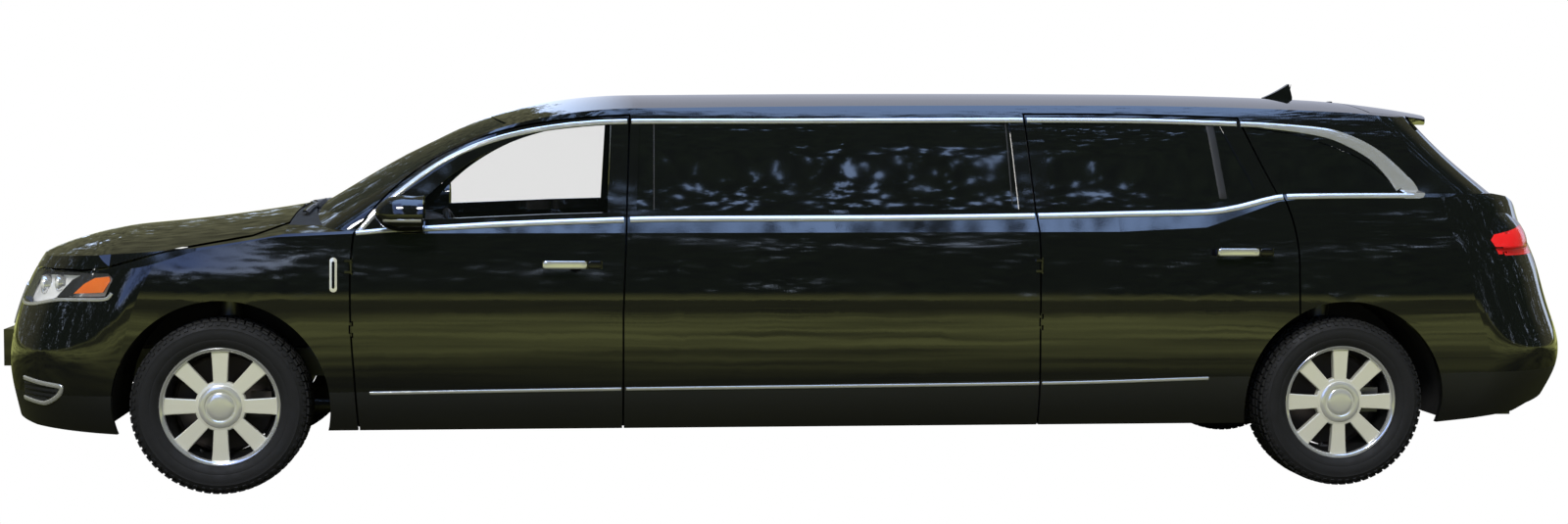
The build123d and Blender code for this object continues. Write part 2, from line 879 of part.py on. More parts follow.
# ---------------------------------------------------------------- wheels
# Each row: name of the corner, axle place, side of the car.
CORNERS = [
    ("front_left", front_axle, 1),
    ("front_right", front_axle, -1),
    ("rear_left", rear_axle, 1),
    ("rear_right", rear_axle, -1),
]
RIM_PROFILE = [(217, -95), (245.5, -95), (245.5, -90), (229, -84), (229, 84), (245.5, 90), (245.5, 95), (217, 95)]
TYRE_PROFILE = [
    (229.15, -83.5),
    (247, -83.5),
    (268, -108),
    (308, -117.5),
    (345, -108),
    (366, -84),
    (366, 84),
    (345, 108),
    (308, 117.5),
    (268, 108),
    (247, 83.5),
    (229.15, 83.5),
]



def rim_window():
    """The corners of one opening between two spokes, on the +X axis of the wheel."""

    low, top = window_reach
    low_half = low * math.tan(math.pi / spoke_count) - spoke_width / 2 / math.cos(
        math.pi / spoke_count
    )
    top_half = top * math.tan(math.pi / spoke_count) - spoke_width / 2 / math.cos(
        math.pi / spoke_count
    )
    nick = 9.0
    return [
        (low, -low_half),
        (low, low_half),
        (top - nick, top_half - nick / 2),
        (top - nick / 3, top_half - nick),
        (top + 3, top_half / 2),
        (top + 4, 0),
        (top + 3, -top_half / 2),
        (top - nick / 3, nick - top_half),
        (top - nick, nick / 2 - top_half),
    ]


with BuildPart() as rim:
    with BuildSketch(Plane.XZ):
        with BuildLine():
            Polyline(*RIM_PROFILE, close=True)
        make_face()
    revolve(axis=Axis.Z)
    with Locations((0, 0, 26)):
        Cylinder(78, 104, align=(Align.CENTER, Align.CENTER, Align.MIN))
    with Locations((0, 0, -40)):
        Cylinder(disc_radius, disc_thickness, align=(Align.CENTER, Align.CENTER, Align.MIN))
    with Locations((0, 0, -12)):
        Cylinder(80, 40, align=(Align.CENTER, Align.CENTER, Align.MIN))
    with BuildSketch(Plane.XY.offset(54)):
        Circle(219)
        with PolarLocations(0, spoke_count, start_angle=180 / spoke_count):
            Polygon(*rim_window(), align=None, mode=Mode.SUBTRACT)
    extrude(amount=28)
    with Locations((0, 0, -60)):
        Cylinder(
            shaft_radius + shaft_clearance,
            130,
            align=(Align.CENTER, Align.CENTER, Align.MIN),
            mode=Mode.SUBTRACT,
        )
    with BuildSketch(Plane.XY.offset(82)):
        Circle(300)
    extrude(amount=60, mode=Mode.SUBTRACT)
    with BuildSketch(Plane.XZ):
        with BuildLine():
            Polyline(*RIM_PROFILE, close=True)
        make_face()
    revolve(axis=Axis.Z)

with BuildPart() as tyre:
    with BuildSketch(Plane.XZ):
        with BuildLine():
            Polyline(*TYRE_PROFILE, close=True)
        make_face()
    revolve(axis=Axis.Z)

for corner, axle, side in CORNERS:
    place = Location((axle, side * wheel_y, tyre_radius), (-90 * side, 0, 0))
    save(place * rim.part, f"rim_{corner}")
    save(place * tyre.part, f"tyre_{corner}")

# ---------------------------------------------------------------- hub carriers
disc_inner = wheel_y - 40.0
disc_outer = disc_inner + disc_thickness


def spindle(axle, reach):
    """The stub on which a left wheel turns, with its flange, caliper and caliper arm."""
    with BuildPart() as stub:
        with Locations(Location((axle, reach, tyre_radius), (-90, 0, 0))):
            Cylinder(
                shaft_radius,
                wheel_y + 62 - reach,
                align=(Align.CENTER, Align.CENTER, Align.MIN),
            )
            Cylinder(
                60,
                disc_inner - 10 - reach,
                align=(Align.CENTER, Align.CENTER, Align.MIN),
            )
    caliper = block(axle - 198, axle - 112, disc_inner - 22, disc_outer + 22, 312, 420)
    arm = block(axle - 198, axle, disc_inner - 44, disc_inner - 18, 336, 396)
    with BuildPart() as slot:
        with Locations(Location((axle, disc_inner - 6, tyre_radius), (-90, 0, 0))):
            Cylinder(
                disc_radius + 6,
                disc_thickness + 12,
                align=(Align.CENTER, Align.CENTER, Align.MIN),
            )
    return stub.part + (caliper - slot.part) + arm


def pin(axle, y, radius, low, top):
    """An upright cylinder."""
    with BuildPart() as piece:
        with Locations((axle, y, (low + top) / 2)):
            Cylinder(radius, top - low)
    return piece.part


knuckle = block(front_axle - 42, front_axle + 42, king_y - 22, king_y + 24, 300, 440)
knuckle = knuckle + pin(front_axle, king_y, pin_radius, 250, 490)
knuckle = knuckle + spindle(front_axle, king_y + 24)
save(knuckle, "knuckle_left")
save(knuckle.mirror(Plane.XZ), "knuckle_right")

ARM_PLAN = [(-32, 722), (-32, 690), (-60, 640), (-110, 560), (-110, 425)]


def wishbone(axle, low):
    """One plate arm of the left side, from the frame out to the upright."""
    plan = [(axle + x, y) for x, y in ARM_PLAN]
    plan += [(axle - x, y) for x, y in reversed(ARM_PLAN)]
    with BuildPart() as arm:
        with BuildSketch(Plane.XY.offset(low)):
            with BuildLine():
                Polyline(*plan, close=True)
            make_face()
            with Locations((axle, king_y)):
                Circle(32)
        extrude(amount=steer_plate)
    return arm.part


eyes = pin(front_axle, king_y, pin_radius + shaft_clearance, 200, 600)
rail = block(front_axle - 480, front_end, 385, 470, 440, 560) & lower_inner
cross = block(front_axle - 70, front_axle + 70, -470, 470, 230, 300)
left_front = (
    wishbone(front_axle, 262)
    + wishbone(front_axle, 456)
    + block(front_axle - 110, front_axle + 110, 400, 470, 230, 450)
    + rail
)
strut = pin(front_axle, 600, 46, 470, 900) & wheel_bore(front_axle, liner_radius - 0.2)
left_front = left_front + strut - eyes
radiator = block(front_axle + 690, front_axle + 750, -480, 480, 330, 800) & lower_inner
save(both_sides(left_front) + cross + radiator, "suspension_front")

left_rear = (
    spindle(rear_axle, 690)
    + block(rear_axle - 42, rear_axle + 42, 650, 712, 290, 440)
    + block(rear_axle - 60, rear_axle + 60, 400, 660, 330, 366)
    + block(rear_axle - 50, rear_axle + 50, 400, 480, 330, 600)
    + (pin(rear_axle, 618, 46, 360, 900) & wheel_bore(rear_axle, liner_radius - 0.2))
)
cross = block(rear_axle - 60, rear_axle + 60, -480, 480, 330, 400)
save(both_sides(left_rear) + cross, "suspension_rear")

# ---------------------------------------------------------------- floor, bulkhead, liners
FLOOR_PATH = [
    (front(-480, 318),),
    (front(-480, 760),),
    (front(-330, 900),),
    (front(-330, 1400),),
    (front(-342, 1400),),
    (front(-342, 906),),
    (front(-492, 766),),
    (front(-492, 330),),
    (rear(568, 330),),
    (rear(488, 612),),
    (rear(-1250, 612),),
    (rear(-1250, 600),),
    (rear(480, 600),),
    (rear(559, 318),),
]
floor = (across(FLOOR_PATH) & lower_inner) - across(WINDSCREEN)
for side in (1, -1):
    for start, end in (
        (front_axle - 1665, front_axle - 530),
        (rear_axle + 190, rear_axle + 1350),
    ):
        floor = floor - block(start, end, side * 862, side * beyond, 200, 1100)
    rear_well = wheel_bore(rear_axle, liner_radius + liner_thickness + 0.2)
    floor = floor - (rear_well & block(rear_end, front_end, side * 556, side * beyond, 0, 1200))
    floor = floor + block(rear_axle + 470, front_axle - 492, side * 790, side * 850, 284, 324)
    sill = block(rear_axle + 1350, front_axle - 1665, side * 780, side * beyond, 284, 330)
    floor = floor + (sill & lower_inner)
cowl = (lower_shell & across(COWL)) - hood_cut - across(WINDSCREEN) - cabin_outer
for y in (-140, 140):
    hood, cowl = hinged(hood, cowl, (hood_hinge_x, y, hood_hinge_z), "y", (-26, 0, 0))
save(hood, "hood")
floor = floor + cowl
save(floor, "floor_and_bulkhead")

liners = None
for axle, inner in ((front_axle, 486.0), (rear_axle, 556.0)):
    tube = wheel_bore(axle, liner_radius + liner_thickness) - wheel_bore(axle, liner_radius)
    tube = tube & block(rear_end, front_end, inner, beyond, 300, 1200)
    web = wheel_bore(axle, liner_radius + liner_thickness)
    web = web & block(rear_end, front_end, inner, inner + liner_thickness, 575, 1200)
    liner = (tube + web) & lower_inner
    if axle == rear_axle:
        liner = liner - block(axle + 190, axle + 900, 900, beyond, 0, 1200)
    liners = liner if liners is None else liners + liner
save(both_sides(liners), "arch_liners")

# ---------------------------------------------------------------- engine and exhaust
engine = block(front_axle - 300, front_axle + 260, -270, 270, 400, 860)
engine = engine + block(front_axle - 60, front_axle + 60, -150, 150, 300, 402)
save(engine, "engine")

with BuildPart() as pipes:
    with Locations(Location((rear_axle - 1075, 420, 352), (0, 90, 0))):
        Cylinder(34, 200, align=(Align.CENTER, Align.CENTER, Align.MIN))
    with Locations(Location((rear_axle - 640, 300, 286), (0, 90, 0))):
        Cylinder(
            30,
            front_axle - 200 - (rear_axle - 640),
            align=(Align.CENTER, Align.CENTER, Align.MIN),
        )
muffler = block(rear_axle - 900, rear_axle - 620, 240, 640, 270, 420)
with BuildPart() as hangers:
    for x in (rear_axle + 900, rear_axle + 2000, rear_axle + 3100):
        with Locations((x, 300, 322)):
            Box(30, 30, 16 + 20, align=(Align.CENTER, Align.CENTER, Align.CENTER))
hanger_room = block(rear_end, front_end, 0, beyond, 0, 318)
mount = block(rear_axle - 800, rear_axle - 760, 400, 440, 415, 600)
save(pipes.part + muffler + mount + (hangers.part & hanger_room), "exhaust")

# ---------------------------------------------------------------- cabin
DASH = [
    (front(-492, 700),),
    (front(-492, 780),),
    (front(-560, 1060), front(-505, 960)),
    (front(-820, 1085), front(-690, 1112)),
    (front(-900, 1010), front(-885, 1060)),
    (front(-880, 880),),
    (front(-760, 740), front(-840, 780)),
    (front(-600, 660),),
]
save(across(DASH, 0.0, -760, 760), "dashboard")

wheel_place = Location((front_axle - 975, 390, 990), (0, -64, 0))
with BuildPart() as helm:
    Torus(183, 15)
    Cylinder(52, 36)
    Box(28, 340, 14)
    with Locations((-86, 0, 0)):
        Box(172, 28, 14)
    Cylinder(24, 160, align=(Align.CENTER, Align.CENTER, Align.MIN))
column = across([(front(-985, 998),), (front(-870, 945),), (front(-870, 925),), (front(-985, 978),)], 0.0, 372, 408)
helm_piece = (wheel_place * helm.part + column) - across(DASH, 0.0, -760, 760)
save(helm_piece, "steering_wheel")


def seat(x, y, wide):
    """A front seat: plinth, cushion, leaning back and head restraint."""
    side_view = [
        (x + 250, 330),
        (x + 250, 480),
        (x + 300, 560),
        (x + 290, 660),
        (x - 130, 640),
        (x - 260, 1170),
        (x - 350, 1190),
        (x - 345, 1100),
        (x - 250, 540),
        (x - 200, 330),
    ]
    with BuildPart() as piece:
        with BuildSketch(Plane.XZ.offset(-y - wide / 2)):
            with BuildLine():
                Polyline(*side_view, close=True)
            make_face()
        extrude(amount=wide)
        with Locations((x - 330, y, 1285)):
            Box(90, 260, 160)
        with Locations((x - 325, y, 1190)):
            Box(30, 120, 60)
    return piece.part


save(both_sides(seat(front_axle - 1430, 390, 480)), "front_seats")

partition = block(front_axle - 1890, front_axle - 1860, -beyond, beyond, 330, 1240)
partition = (partition & lower_inner) + (partition & cabin_inner)
partition = partition - cabin_shell - lower_shell
save(partition, "partition")

bench_front, bench_back = front_axle - 2000, rear_axle + 1420
side_bench = (
    block(bench_back, bench_front, 380, 860, 330, 560)
    + block(bench_back, bench_front, 380, 850, 560, 700)
    + block(bench_back, bench_front, 720, 850, 690, 1120)
)
rear_bench = (
    block(rear_axle - 320, rear_axle + 180, -540, 540, 612, 700)
    + block(rear_axle - 320, rear_axle + 230, -540, 540, 700, 820)
    + block(rear_axle - 430, rear_axle - 300, -540, 540, 612, 1240)
)
save(side_bench + rear_bench, "lounge_seats")

bar = block(bench_back + 200, bench_front - 60, -860, -480, 330, 980)
bar = bar - block(bench_back + 240, bench_front - 700, -700, -470, 760, 930)
bar = bar + block(bench_back + 190, bench_front - 50, -860, -460, 980, 1005)
save(bar, "bar_cabinet")
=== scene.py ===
"""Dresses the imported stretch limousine: its finishes, glass, lamps, wheels, trim and cabin.

Side-view outlines, widths, heights over the skin and turned profiles are millimetres. All
other places and every mesh are metres. The frame is the car's own: X forward, Y to the
car's left and Z up, with the ground at zero.
"""

import logging
import math
from dataclasses import dataclass
from enum import Enum
from typing import Callable, Iterable, Sequence

import bmesh
import bpy
from mathutils import Matrix, Vector
from mathutils.bvhtree import BVHTree


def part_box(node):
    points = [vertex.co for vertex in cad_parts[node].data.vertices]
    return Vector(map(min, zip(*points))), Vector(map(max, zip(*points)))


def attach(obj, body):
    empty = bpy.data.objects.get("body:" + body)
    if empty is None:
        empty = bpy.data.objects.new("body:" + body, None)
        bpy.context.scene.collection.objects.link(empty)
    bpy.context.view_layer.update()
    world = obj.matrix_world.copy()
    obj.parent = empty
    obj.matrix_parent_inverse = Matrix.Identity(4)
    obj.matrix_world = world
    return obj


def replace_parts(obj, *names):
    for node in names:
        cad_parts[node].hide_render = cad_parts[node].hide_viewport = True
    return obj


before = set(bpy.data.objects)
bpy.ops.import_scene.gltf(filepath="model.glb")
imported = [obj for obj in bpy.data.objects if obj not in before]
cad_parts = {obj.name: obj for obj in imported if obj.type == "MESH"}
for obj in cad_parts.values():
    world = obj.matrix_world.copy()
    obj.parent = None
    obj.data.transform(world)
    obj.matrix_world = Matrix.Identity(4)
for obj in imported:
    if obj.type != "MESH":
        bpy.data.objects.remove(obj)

LOG = logging.getLogger("limousine")
MM = 0.001
BODY = "car_body"
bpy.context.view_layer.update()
OUTSIDE_X, OUTSIDE_Y, INSIDE_Y = 4.2, 1.7, 0.45  # where rays start, in metres from the car's middle


def middle(node: str) -> Vector:
    """The middle of a CAD node's box, in metres."""
    low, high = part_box(node)
    return (low + high) / 2


FRONT_AXLE = middle("rim_front_left").x
REAR_AXLE = middle("rim_rear_left").x
WHEEL_SEAT = middle("rim_front_left").y
AXLE_HEIGHT = middle("rim_front_left").z


class Side(Enum):
    """The two sides of the car, with the sign of Y on each."""

    LEFT = 1
    RIGHT = -1

    @property
    def word(self) -> str:
        """The side's word in the names of pieces and bodies."""
        return self.name.lower()


def front(x: float, z: float) -> tuple[float, float]:
    """A side-view point in metres, given in millimetres from the front axle and the ground.

    Args:
        x: distance ahead of the front axle, in millimetres.
        z: height above the ground, in millimetres.

    Returns:
        The point's X and Z in metres.
    """
    return (FRONT_AXLE + x * MM, z * MM)


def rear(x: float, z: float) -> tuple[float, float]:
    """A side-view point in metres, given in millimetres from the rear axle and the ground.

    Args:
        x: distance ahead of the rear axle, in millimetres.
        z: height above the ground, in millimetres.

    Returns:
        The point's X and Z in metres.
    """
    return (REAR_AXLE + x * MM, z * MM)


Triple = tuple[float, float, float]
Colour = Triple
Faces = list[tuple[int, ...]]
Shell = tuple[list[Vector], Faces]
Outline = Sequence[tuple[float, float]]
Place = tuple[Vector, Vector]
Ray = Callable[[float, float], Place]
Socket, Material = bpy.types.NodeSocket, bpy.types.Material
Piece, Mesh = bpy.types.Object, bpy.types.Mesh


# ---------------------------------------------------------------- finishes


class Graph:
    """The node tree of a material or the world, with short calls to add and join nodes."""

    def __init__(self, owner: Material | bpy.types.World) -> None:
        """Starts with no nodes.

        Args:
            owner: the material or world that the nodes belong to.
        """
        owner.use_nodes = True
        self.owner = owner
        self.tree = owner.node_tree
        self.tree.nodes.clear()

    def add(self, kind: str, inputs: dict | None = None, **settings: object) -> bpy.types.Node:
        """Adds a node.

        Args:
            kind: the node's type, without the word ShaderNode.
            inputs: values or sockets for its inputs, by name or number.
            settings: the node's own properties.

        Returns:
            The new node.
        """
        node = self.tree.nodes.new("ShaderNode" + kind)
        for key, value in settings.items():
            setattr(node, key, value)
        for key, value in (inputs or {}).items():
            if isinstance(value, Socket):
                self.tree.links.new(value, node.inputs[key])
            else:
                node.inputs[key].default_value = value
        return node

    def place(self) -> Socket:
        """The object coordinates that every pattern here reads."""
        return self.add("TexCoord").outputs["Object"]

    def noise(self, scale: float, detail: float = 2.0, stretch: Triple = (1, 1, 1)) -> Socket:
        """Cloudy noise over object coordinates.

        Args:
            scale: blobs to the metre, roughly.
            detail: how many finer layers are added.
            stretch: scale of each axis.

        Returns:
            The noise value's socket, from 0 to 1.
        """
        mapped = self.add("Mapping", {"Vector": self.place(), "Scale": stretch})
        noise = self.add(
            "TexNoise", {"Vector": mapped.outputs[0], "Scale": scale, "Detail": detail}
        )
        return noise.outputs[0]

    def span(self, value: Socket, low: float, high: float, start: float = 0.3, end: float = 0.7) -> Socket:
        """Carries a value's range from start..end onto low..high.

        Args:
            value: the socket to read.
            low: the result at start.
            high: the result at end.
            start: the value that gives low.
            end: the value that gives high.

        Returns:
            The new range's socket.
        """
        ranged = self.add(
            "MapRange", {0: value, 1: start, 2: end, 3: low, 4: high}, clamp=True
        )
        return ranged.outputs[0]

    def maths(self, operation: str, *values: Socket | float) -> Socket:
        """The result of one Math node on these values."""
        return self.add("Math", dict(enumerate(values)), operation=operation).outputs[0]

    def blend(self, factor: Socket, first: Colour | Socket, second: Colour | Socket) -> Socket:
        """Mixes two colours.

        Args:
            factor: 0 gives the first colour and 1 the second.
            first: a linear colour, or a socket.
            second: a linear colour, or a socket.

        Returns:
            The mixed colour's socket.
        """
        mix = self.add("Mix", data_type="RGBA")
        self.tree.links.new(factor, mix.inputs[0])
        for socket, value in ((mix.inputs[6], first), (mix.inputs[7], second)):
            if isinstance(value, Socket):
                self.tree.links.new(value, socket)
            else:
                socket.default_value = (*value, 1)
        return mix.outputs[2]

    def bump(self, height: Socket, distance: float, strength: float = 1.0) -> Socket:
        """Turns a height into a normal.

        Args:
            height: the height's socket, from 0 to 1.
            distance: the depth of the relief in millimetres.
            strength: how much of it shows.

        Returns:
            The normal's socket.
        """
        bump = self.add(
            "Bump", {"Height": height, "Distance": distance * MM, "Strength": strength}
        )
        return bump.outputs[0]

    def finish(self, **inputs: object) -> Material:
        """Adds the surface shader and closes the material.

        Args:
            inputs: the shader's sockets, by name, with an underscore for each space.

        Returns:
            The material.
        """
        named = {key.replace("_", " "): value for key, value in inputs.items()}
        for key, value in named.items():
            if isinstance(value, tuple) and len(value) == 3:
                named[key] = (*value, 1)
        shader = self.add("BsdfPrincipled", named)
        self.add("OutputMaterial", {0: shader.outputs[0]})
        return self.owner


@dataclass(frozen=True)
class Finish:
    """A finish with its colour and gloss, and the size of its grain."""

    name: str
    colour: Colour
    shade: Colour
    gloss: tuple[float, float] = (0.3, 0.4)
    grain: float = 40.0
    relief: float = 0.0
    metal: float = 0.0
    level: float = 0.5

    @property
    def material(self) -> Material:
        """The finish's material, made on first use."""
        return bpy.data.materials.get(self.name) or self.make()

    def make(self) -> Material:
        """Two shades and a varied gloss over a fine grain.

        Returns:
            The new material.
        """
        graph = Graph(bpy.data.materials.new(self.name))
        cloud = graph.noise(self.grain, 3)
        extra = {}
        if self.relief:
            fine = graph.noise(self.grain * 12, 2)
            extra["Normal"] = graph.bump(fine, self.relief)
        return graph.finish(
            Base_Color=graph.blend(cloud, self.colour, self.shade),
            Roughness=graph.span(cloud, *self.gloss),
            Metallic=self.metal,
            Specular_IOR_Level=self.level,
            **extra,
        )


@dataclass(frozen=True)
class BodyPaint(Finish):
    """Gloss paint over the whole body, with moulded plastic below the cladding line."""

    cladding: Colour = (0.004, 0.0042, 0.0046)
    line_front: tuple[float, float] = (-612.0, 430.0)
    line_rear: tuple[float, float] = (-4175.0, 482.0)
    plastic_gloss: float = 0.46
    blur: float = 0.0005

    def make(self) -> Material:
        """Paint above a sloping line and textured plastic below it.

        Returns:
            The new material.
        """
        graph = Graph(bpy.data.materials.new(self.name))
        place = graph.add("SeparateXYZ", {0: graph.place()})
        slope = (self.line_rear[1] - self.line_front[1]) / (self.line_rear[0] - self.line_front[0])
        start = front(*self.line_front)
        rise = graph.maths("MULTIPLY_ADD", place.outputs[0], -slope, place.outputs[2])
        edge = start[1] - slope * start[0]
        above = graph.span(rise, 0.0, 1.0, edge - self.blur, edge + self.blur)
        flakes = graph.noise(2200, 0)
        dust = graph.noise(3.0, 5)
        orange_peel = graph.noise(160, 1)
        gloss = graph.add("Mix", {0: above, 2: self.plastic_gloss, 3: graph.span(dust, *self.gloss)})
        relief = graph.add("Mix", {0: above, 2: graph.noise(900, 2), 3: orange_peel})
        depth = graph.bump(relief.outputs[0], 0.012)
        painted = graph.blend(flakes, self.colour, self.shade)
        return graph.finish(
            Base_Color=graph.blend(above, self.cladding, painted),
            Roughness=gloss.outputs[0],
            Specular_IOR_Level=self.level,
            Normal=depth,
        )


@dataclass(frozen=True)
class Glazing(Finish):
    """Tinted sheet glass that shows more of its gloss at a glancing angle."""

    clear: float = 0.85

    def make(self) -> Material:
        """A thin tinted sheet with faint rain marks in its gloss.

        Returns:
            The new material.
        """
        graph = Graph(bpy.data.materials.new(self.name))
        streaks = graph.noise(self.grain, 3, (1, 1, 0.3))
        facing = graph.add("LayerWeight", {"Blend": 0.35}).outputs["Fresnel"]
        return graph.finish(
            Base_Color=graph.blend(streaks, self.colour, self.shade),
            Roughness=graph.span(streaks, *self.gloss),
            Specular_IOR_Level=self.level,
            Alpha=graph.span(facing, 1 - self.clear, 1.0, 0.05, 1.0) if self.clear else 1.0,
        )


@dataclass(frozen=True)
class BrushedMetal(Finish):
    """Turned or brushed metal, with streaks along one way."""

    stretch: Triple = (1, 1, 12)

    def make(self) -> Material:
        """Metal with fine streaks in its gloss.

        Returns:
            The new material.
        """
        graph = Graph(bpy.data.materials.new(self.name))
        streaks = graph.noise(self.grain, 4, self.stretch)
        cloud = graph.noise(9, 2)
        return graph.finish(
            Base_Color=graph.blend(cloud, self.colour, self.shade),
            Roughness=graph.span(streaks, *self.gloss),
            Metallic=self.metal,
            Normal=graph.bump(streaks, self.relief or 0.01),
        )


@dataclass(frozen=True)
class Leather(Finish):
    """Leather with a pebbled grain and creases."""

    def make(self) -> Material:
        """Pebbles from cells, broken up by wide creases.

        Returns:
            The new material.
        """
        graph = Graph(bpy.data.materials.new(self.name))
        cells = graph.add(
            "TexVoronoi", {"Vector": graph.place(), "Scale": self.grain}, feature="DISTANCE_TO_EDGE"
        )
        pebbles = graph.span(cells.outputs[0], 0.0, 1.0, 0.0, 0.12)
        creases = graph.noise(26, 5)
        height = graph.add("Mix", {0: 0.35, 2: pebbles, 3: creases})
        return graph.finish(
            Base_Color=graph.blend(creases, self.colour, self.shade),
            Roughness=graph.span(creases, *self.gloss),
            Normal=graph.bump(height.outputs[0], 0.35, 0.5),
        )


@dataclass(frozen=True)
class Wood(Finish):
    """Lacquered wood with growth rings."""

    def make(self) -> Material:
        """Rings stretched along the grain, under a glossy coat.

        Returns:
            The new material.
        """
        graph = Graph(bpy.data.materials.new(self.name))
        mapped = graph.add("Mapping", {"Vector": graph.place(), "Scale": (0.25, 1, 1)})
        rings = graph.add(
            "TexWave",
            {"Vector": mapped.outputs[0], "Scale": self.grain, "Distortion": 7, "Detail": 3},
        )
        return graph.finish(
            Base_Color=graph.blend(rings.outputs[1], self.colour, self.shade),
            Roughness=graph.span(rings.outputs[1], *self.gloss),
            Coat_Weight=0.5,
        )


@dataclass(frozen=True)
class LampLens(Finish):
    """Clear or coloured lens with upright flutes moulded inside it."""

    clear: float = 0.5
    flutes: float = 90.0

    def make(self) -> Material:
        """A tinted lens with fluted relief.

        Returns:
            The new material.
        """
        graph = Graph(bpy.data.materials.new(self.name))
        wave = graph.add("TexWave", {"Vector": graph.place(), "Scale": self.flutes})
        cloud = graph.noise(14, 2)
        return graph.finish(
            Base_Color=graph.blend(cloud, self.colour, self.shade),
            Roughness=graph.span(cloud, *self.gloss),
            Specular_IOR_Level=self.level,
            Alpha=1 - self.clear,
            Normal=graph.bump(wave.outputs[1], self.relief or 0.05),
        )


PAINT = BodyPaint("black_paint", (0.0035, 0.0038, 0.0045), (0.006, 0.0065, 0.008), (0.015, 0.05), level=1.0)
PLASTIC = Finish("moulded_plastic", (0.016, 0.017, 0.018), (0.026, 0.027, 0.029), (0.45, 0.6), 30, 0.05)
GLOSS_BLACK = Finish("gloss_black_trim", (0.004, 0.004, 0.005), (0.007, 0.007, 0.008), (0.05, 0.12), 20)
UNDERBODY = Finish("underbody_coat", (0.012, 0.012, 0.012), (0.03, 0.028, 0.025), (0.7, 0.9), 12, 0.4)
CHROME = Finish("bright_chrome", (0.8, 0.81, 0.82), (0.88, 0.88, 0.88), (0.08, 0.16), 18, 0.0, 0.72)
# Rim metal whose warm yellow tint is a painted reflection of the sunlit surroundings; the rest of its colour
# is the metal's own.
RIM_METAL_WARM_REFLECTION = BrushedMetal("polished_rim", (0.93, 0.92, 0.8), (0.96, 0.95, 0.85), (0.24, 0.27), 24, 0.0005, 0.4)
HUB_METAL = BrushedMetal("polished_hub", (0.92, 0.92, 0.88), (0.97, 0.97, 0.94), (0.14, 0.2), 60, 0.001, 0.62)
# Dark barrel finish: painted shade, standing for the deep shadow inside the wheel's barrel behind the spokes.
RIM_BARREL_PAINTED_SHADE = Finish("rim_inner_paint", (0.03, 0.031, 0.032), (0.05, 0.051, 0.052), (0.3, 0.42), 25, 0.0, 0.8)
STEEL = Finish("worn_steel", (0.2, 0.2, 0.2), (0.32, 0.31, 0.3), (0.35, 0.55), 30, 0.03, 0.9)
CAST = Finish("iron_casting", (0.05, 0.045, 0.042), (0.1, 0.085, 0.075), (0.6, 0.8), 30, 0.2, 0.6)
ALUMINIUM = Finish("aluminium_casting", (0.42, 0.43, 0.44), (0.55, 0.56, 0.57), (0.3, 0.45), 40, 0.08, 0.9)
RUBBER = Finish("tyre_rubber", (0.0065, 0.0065, 0.007), (0.013, 0.0128, 0.0125), (0.62, 0.85), 18, 0.12)
SEAL = Finish("rubber_seal", (0.008, 0.008, 0.008), (0.014, 0.014, 0.014), (0.5, 0.65), 30, 0.05)
PRIVACY = Glazing(
    "dark_glazing", (0.0035, 0.004, 0.0045), (0.006, 0.007, 0.008), (0.012, 0.03), 5, level=0.95, clear=0.0
)
CLEAR = Glazing(
    "tinted_glass", (0.012, 0.016, 0.015), (0.02, 0.026, 0.024), (0.0, 0.015), 5, level=0.9, clear=0.93
)
LAMP_CLEAR = LampLens(
    "lamp_lens", (0.6, 0.62, 0.63), (0.7, 0.72, 0.73), (0.02, 0.05), 14, 0.02, level=0.7, clear=0.95
)
LAMP_RED = LampLens(
    "red_lamp_lens", (0.93, 0.012, 0.016), (0.97, 0.03, 0.03), (0.05, 0.12), 14, 0.12, level=0.6, clear=0.05
)
LAMP_AMBER = LampLens(
    "amber_lens", (0.8, 0.13, 0.002), (0.9, 0.2, 0.004), (0.08, 0.15), 14, 0.1, level=0.5, clear=0.05
)
REFLECTOR = Finish("lamp_reflector", (0.93, 0.94, 0.95), (0.97, 0.97, 0.98), (0.15, 0.25), 34, 0.03, 0.1)
BULB = Finish("bulb_glass", (0.8, 0.8, 0.76), (0.86, 0.86, 0.82), (0.1, 0.2), 30)
LEATHER = Leather("black_leather", (0.018, 0.017, 0.017), (0.032, 0.03, 0.029), (0.38, 0.55), 420)
GREY_LEATHER = Leather("grey_leather", (0.1, 0.098, 0.094), (0.15, 0.145, 0.138), (0.4, 0.55), 420)
WALNUT = Wood("walnut", (0.09, 0.035, 0.013), (0.2, 0.085, 0.032), (0.12, 0.25), 9)
TRIM_VINYL = Finish("cabin_vinyl", (0.05, 0.05, 0.05), (0.075, 0.074, 0.072), (0.55, 0.7), 22, 0.15)
GREY_CLOTH = Finish("headlining_cloth", (0.1, 0.1, 0.098), (0.15, 0.148, 0.144), (0.85, 0.95), 160, 0.2)
CARPET = Finish("carpet", (0.018, 0.018, 0.019), (0.04, 0.039, 0.038), (0.9, 1.0), 260, 1.2)
MIRROR = Finish("mirror_glass", (0.82, 0.84, 0.85), (0.86, 0.87, 0.88), (0.0, 0.01), 10, 0.0, 1.0)
WHITE_PLATE = Finish("plate_enamel", (0.62, 0.63, 0.64), (0.7, 0.71, 0.72), (0.3, 0.4), 30)


# ---------------------------------------------------------------- mesh tools


def mesh_piece(
    name: str, points: Sequence[Sequence[float]], faces: Sequence[Sequence[int]], finish: Finish,
    body: str = BODY, sharp: float = 35.0,
) -> Piece:
    """Makes a piece from points and faces, shades it and lets it ride on a body.

    Args:
        name: the piece's name.
        points: corners in metres, in the car's frame.
        faces: rows of corner numbers.
        finish: what the piece is finished in.
        body: the CAD body that carries it.
        sharp: edges that turn by more than this many degrees stay sharp.

    Returns:
        The new piece.
    """
    mesh = bpy.data.meshes.new(name)
    mesh.from_pydata([tuple(p) for p in points], [], [tuple(f) for f in faces])
    return settle(name, mesh, finish, body, sharp)


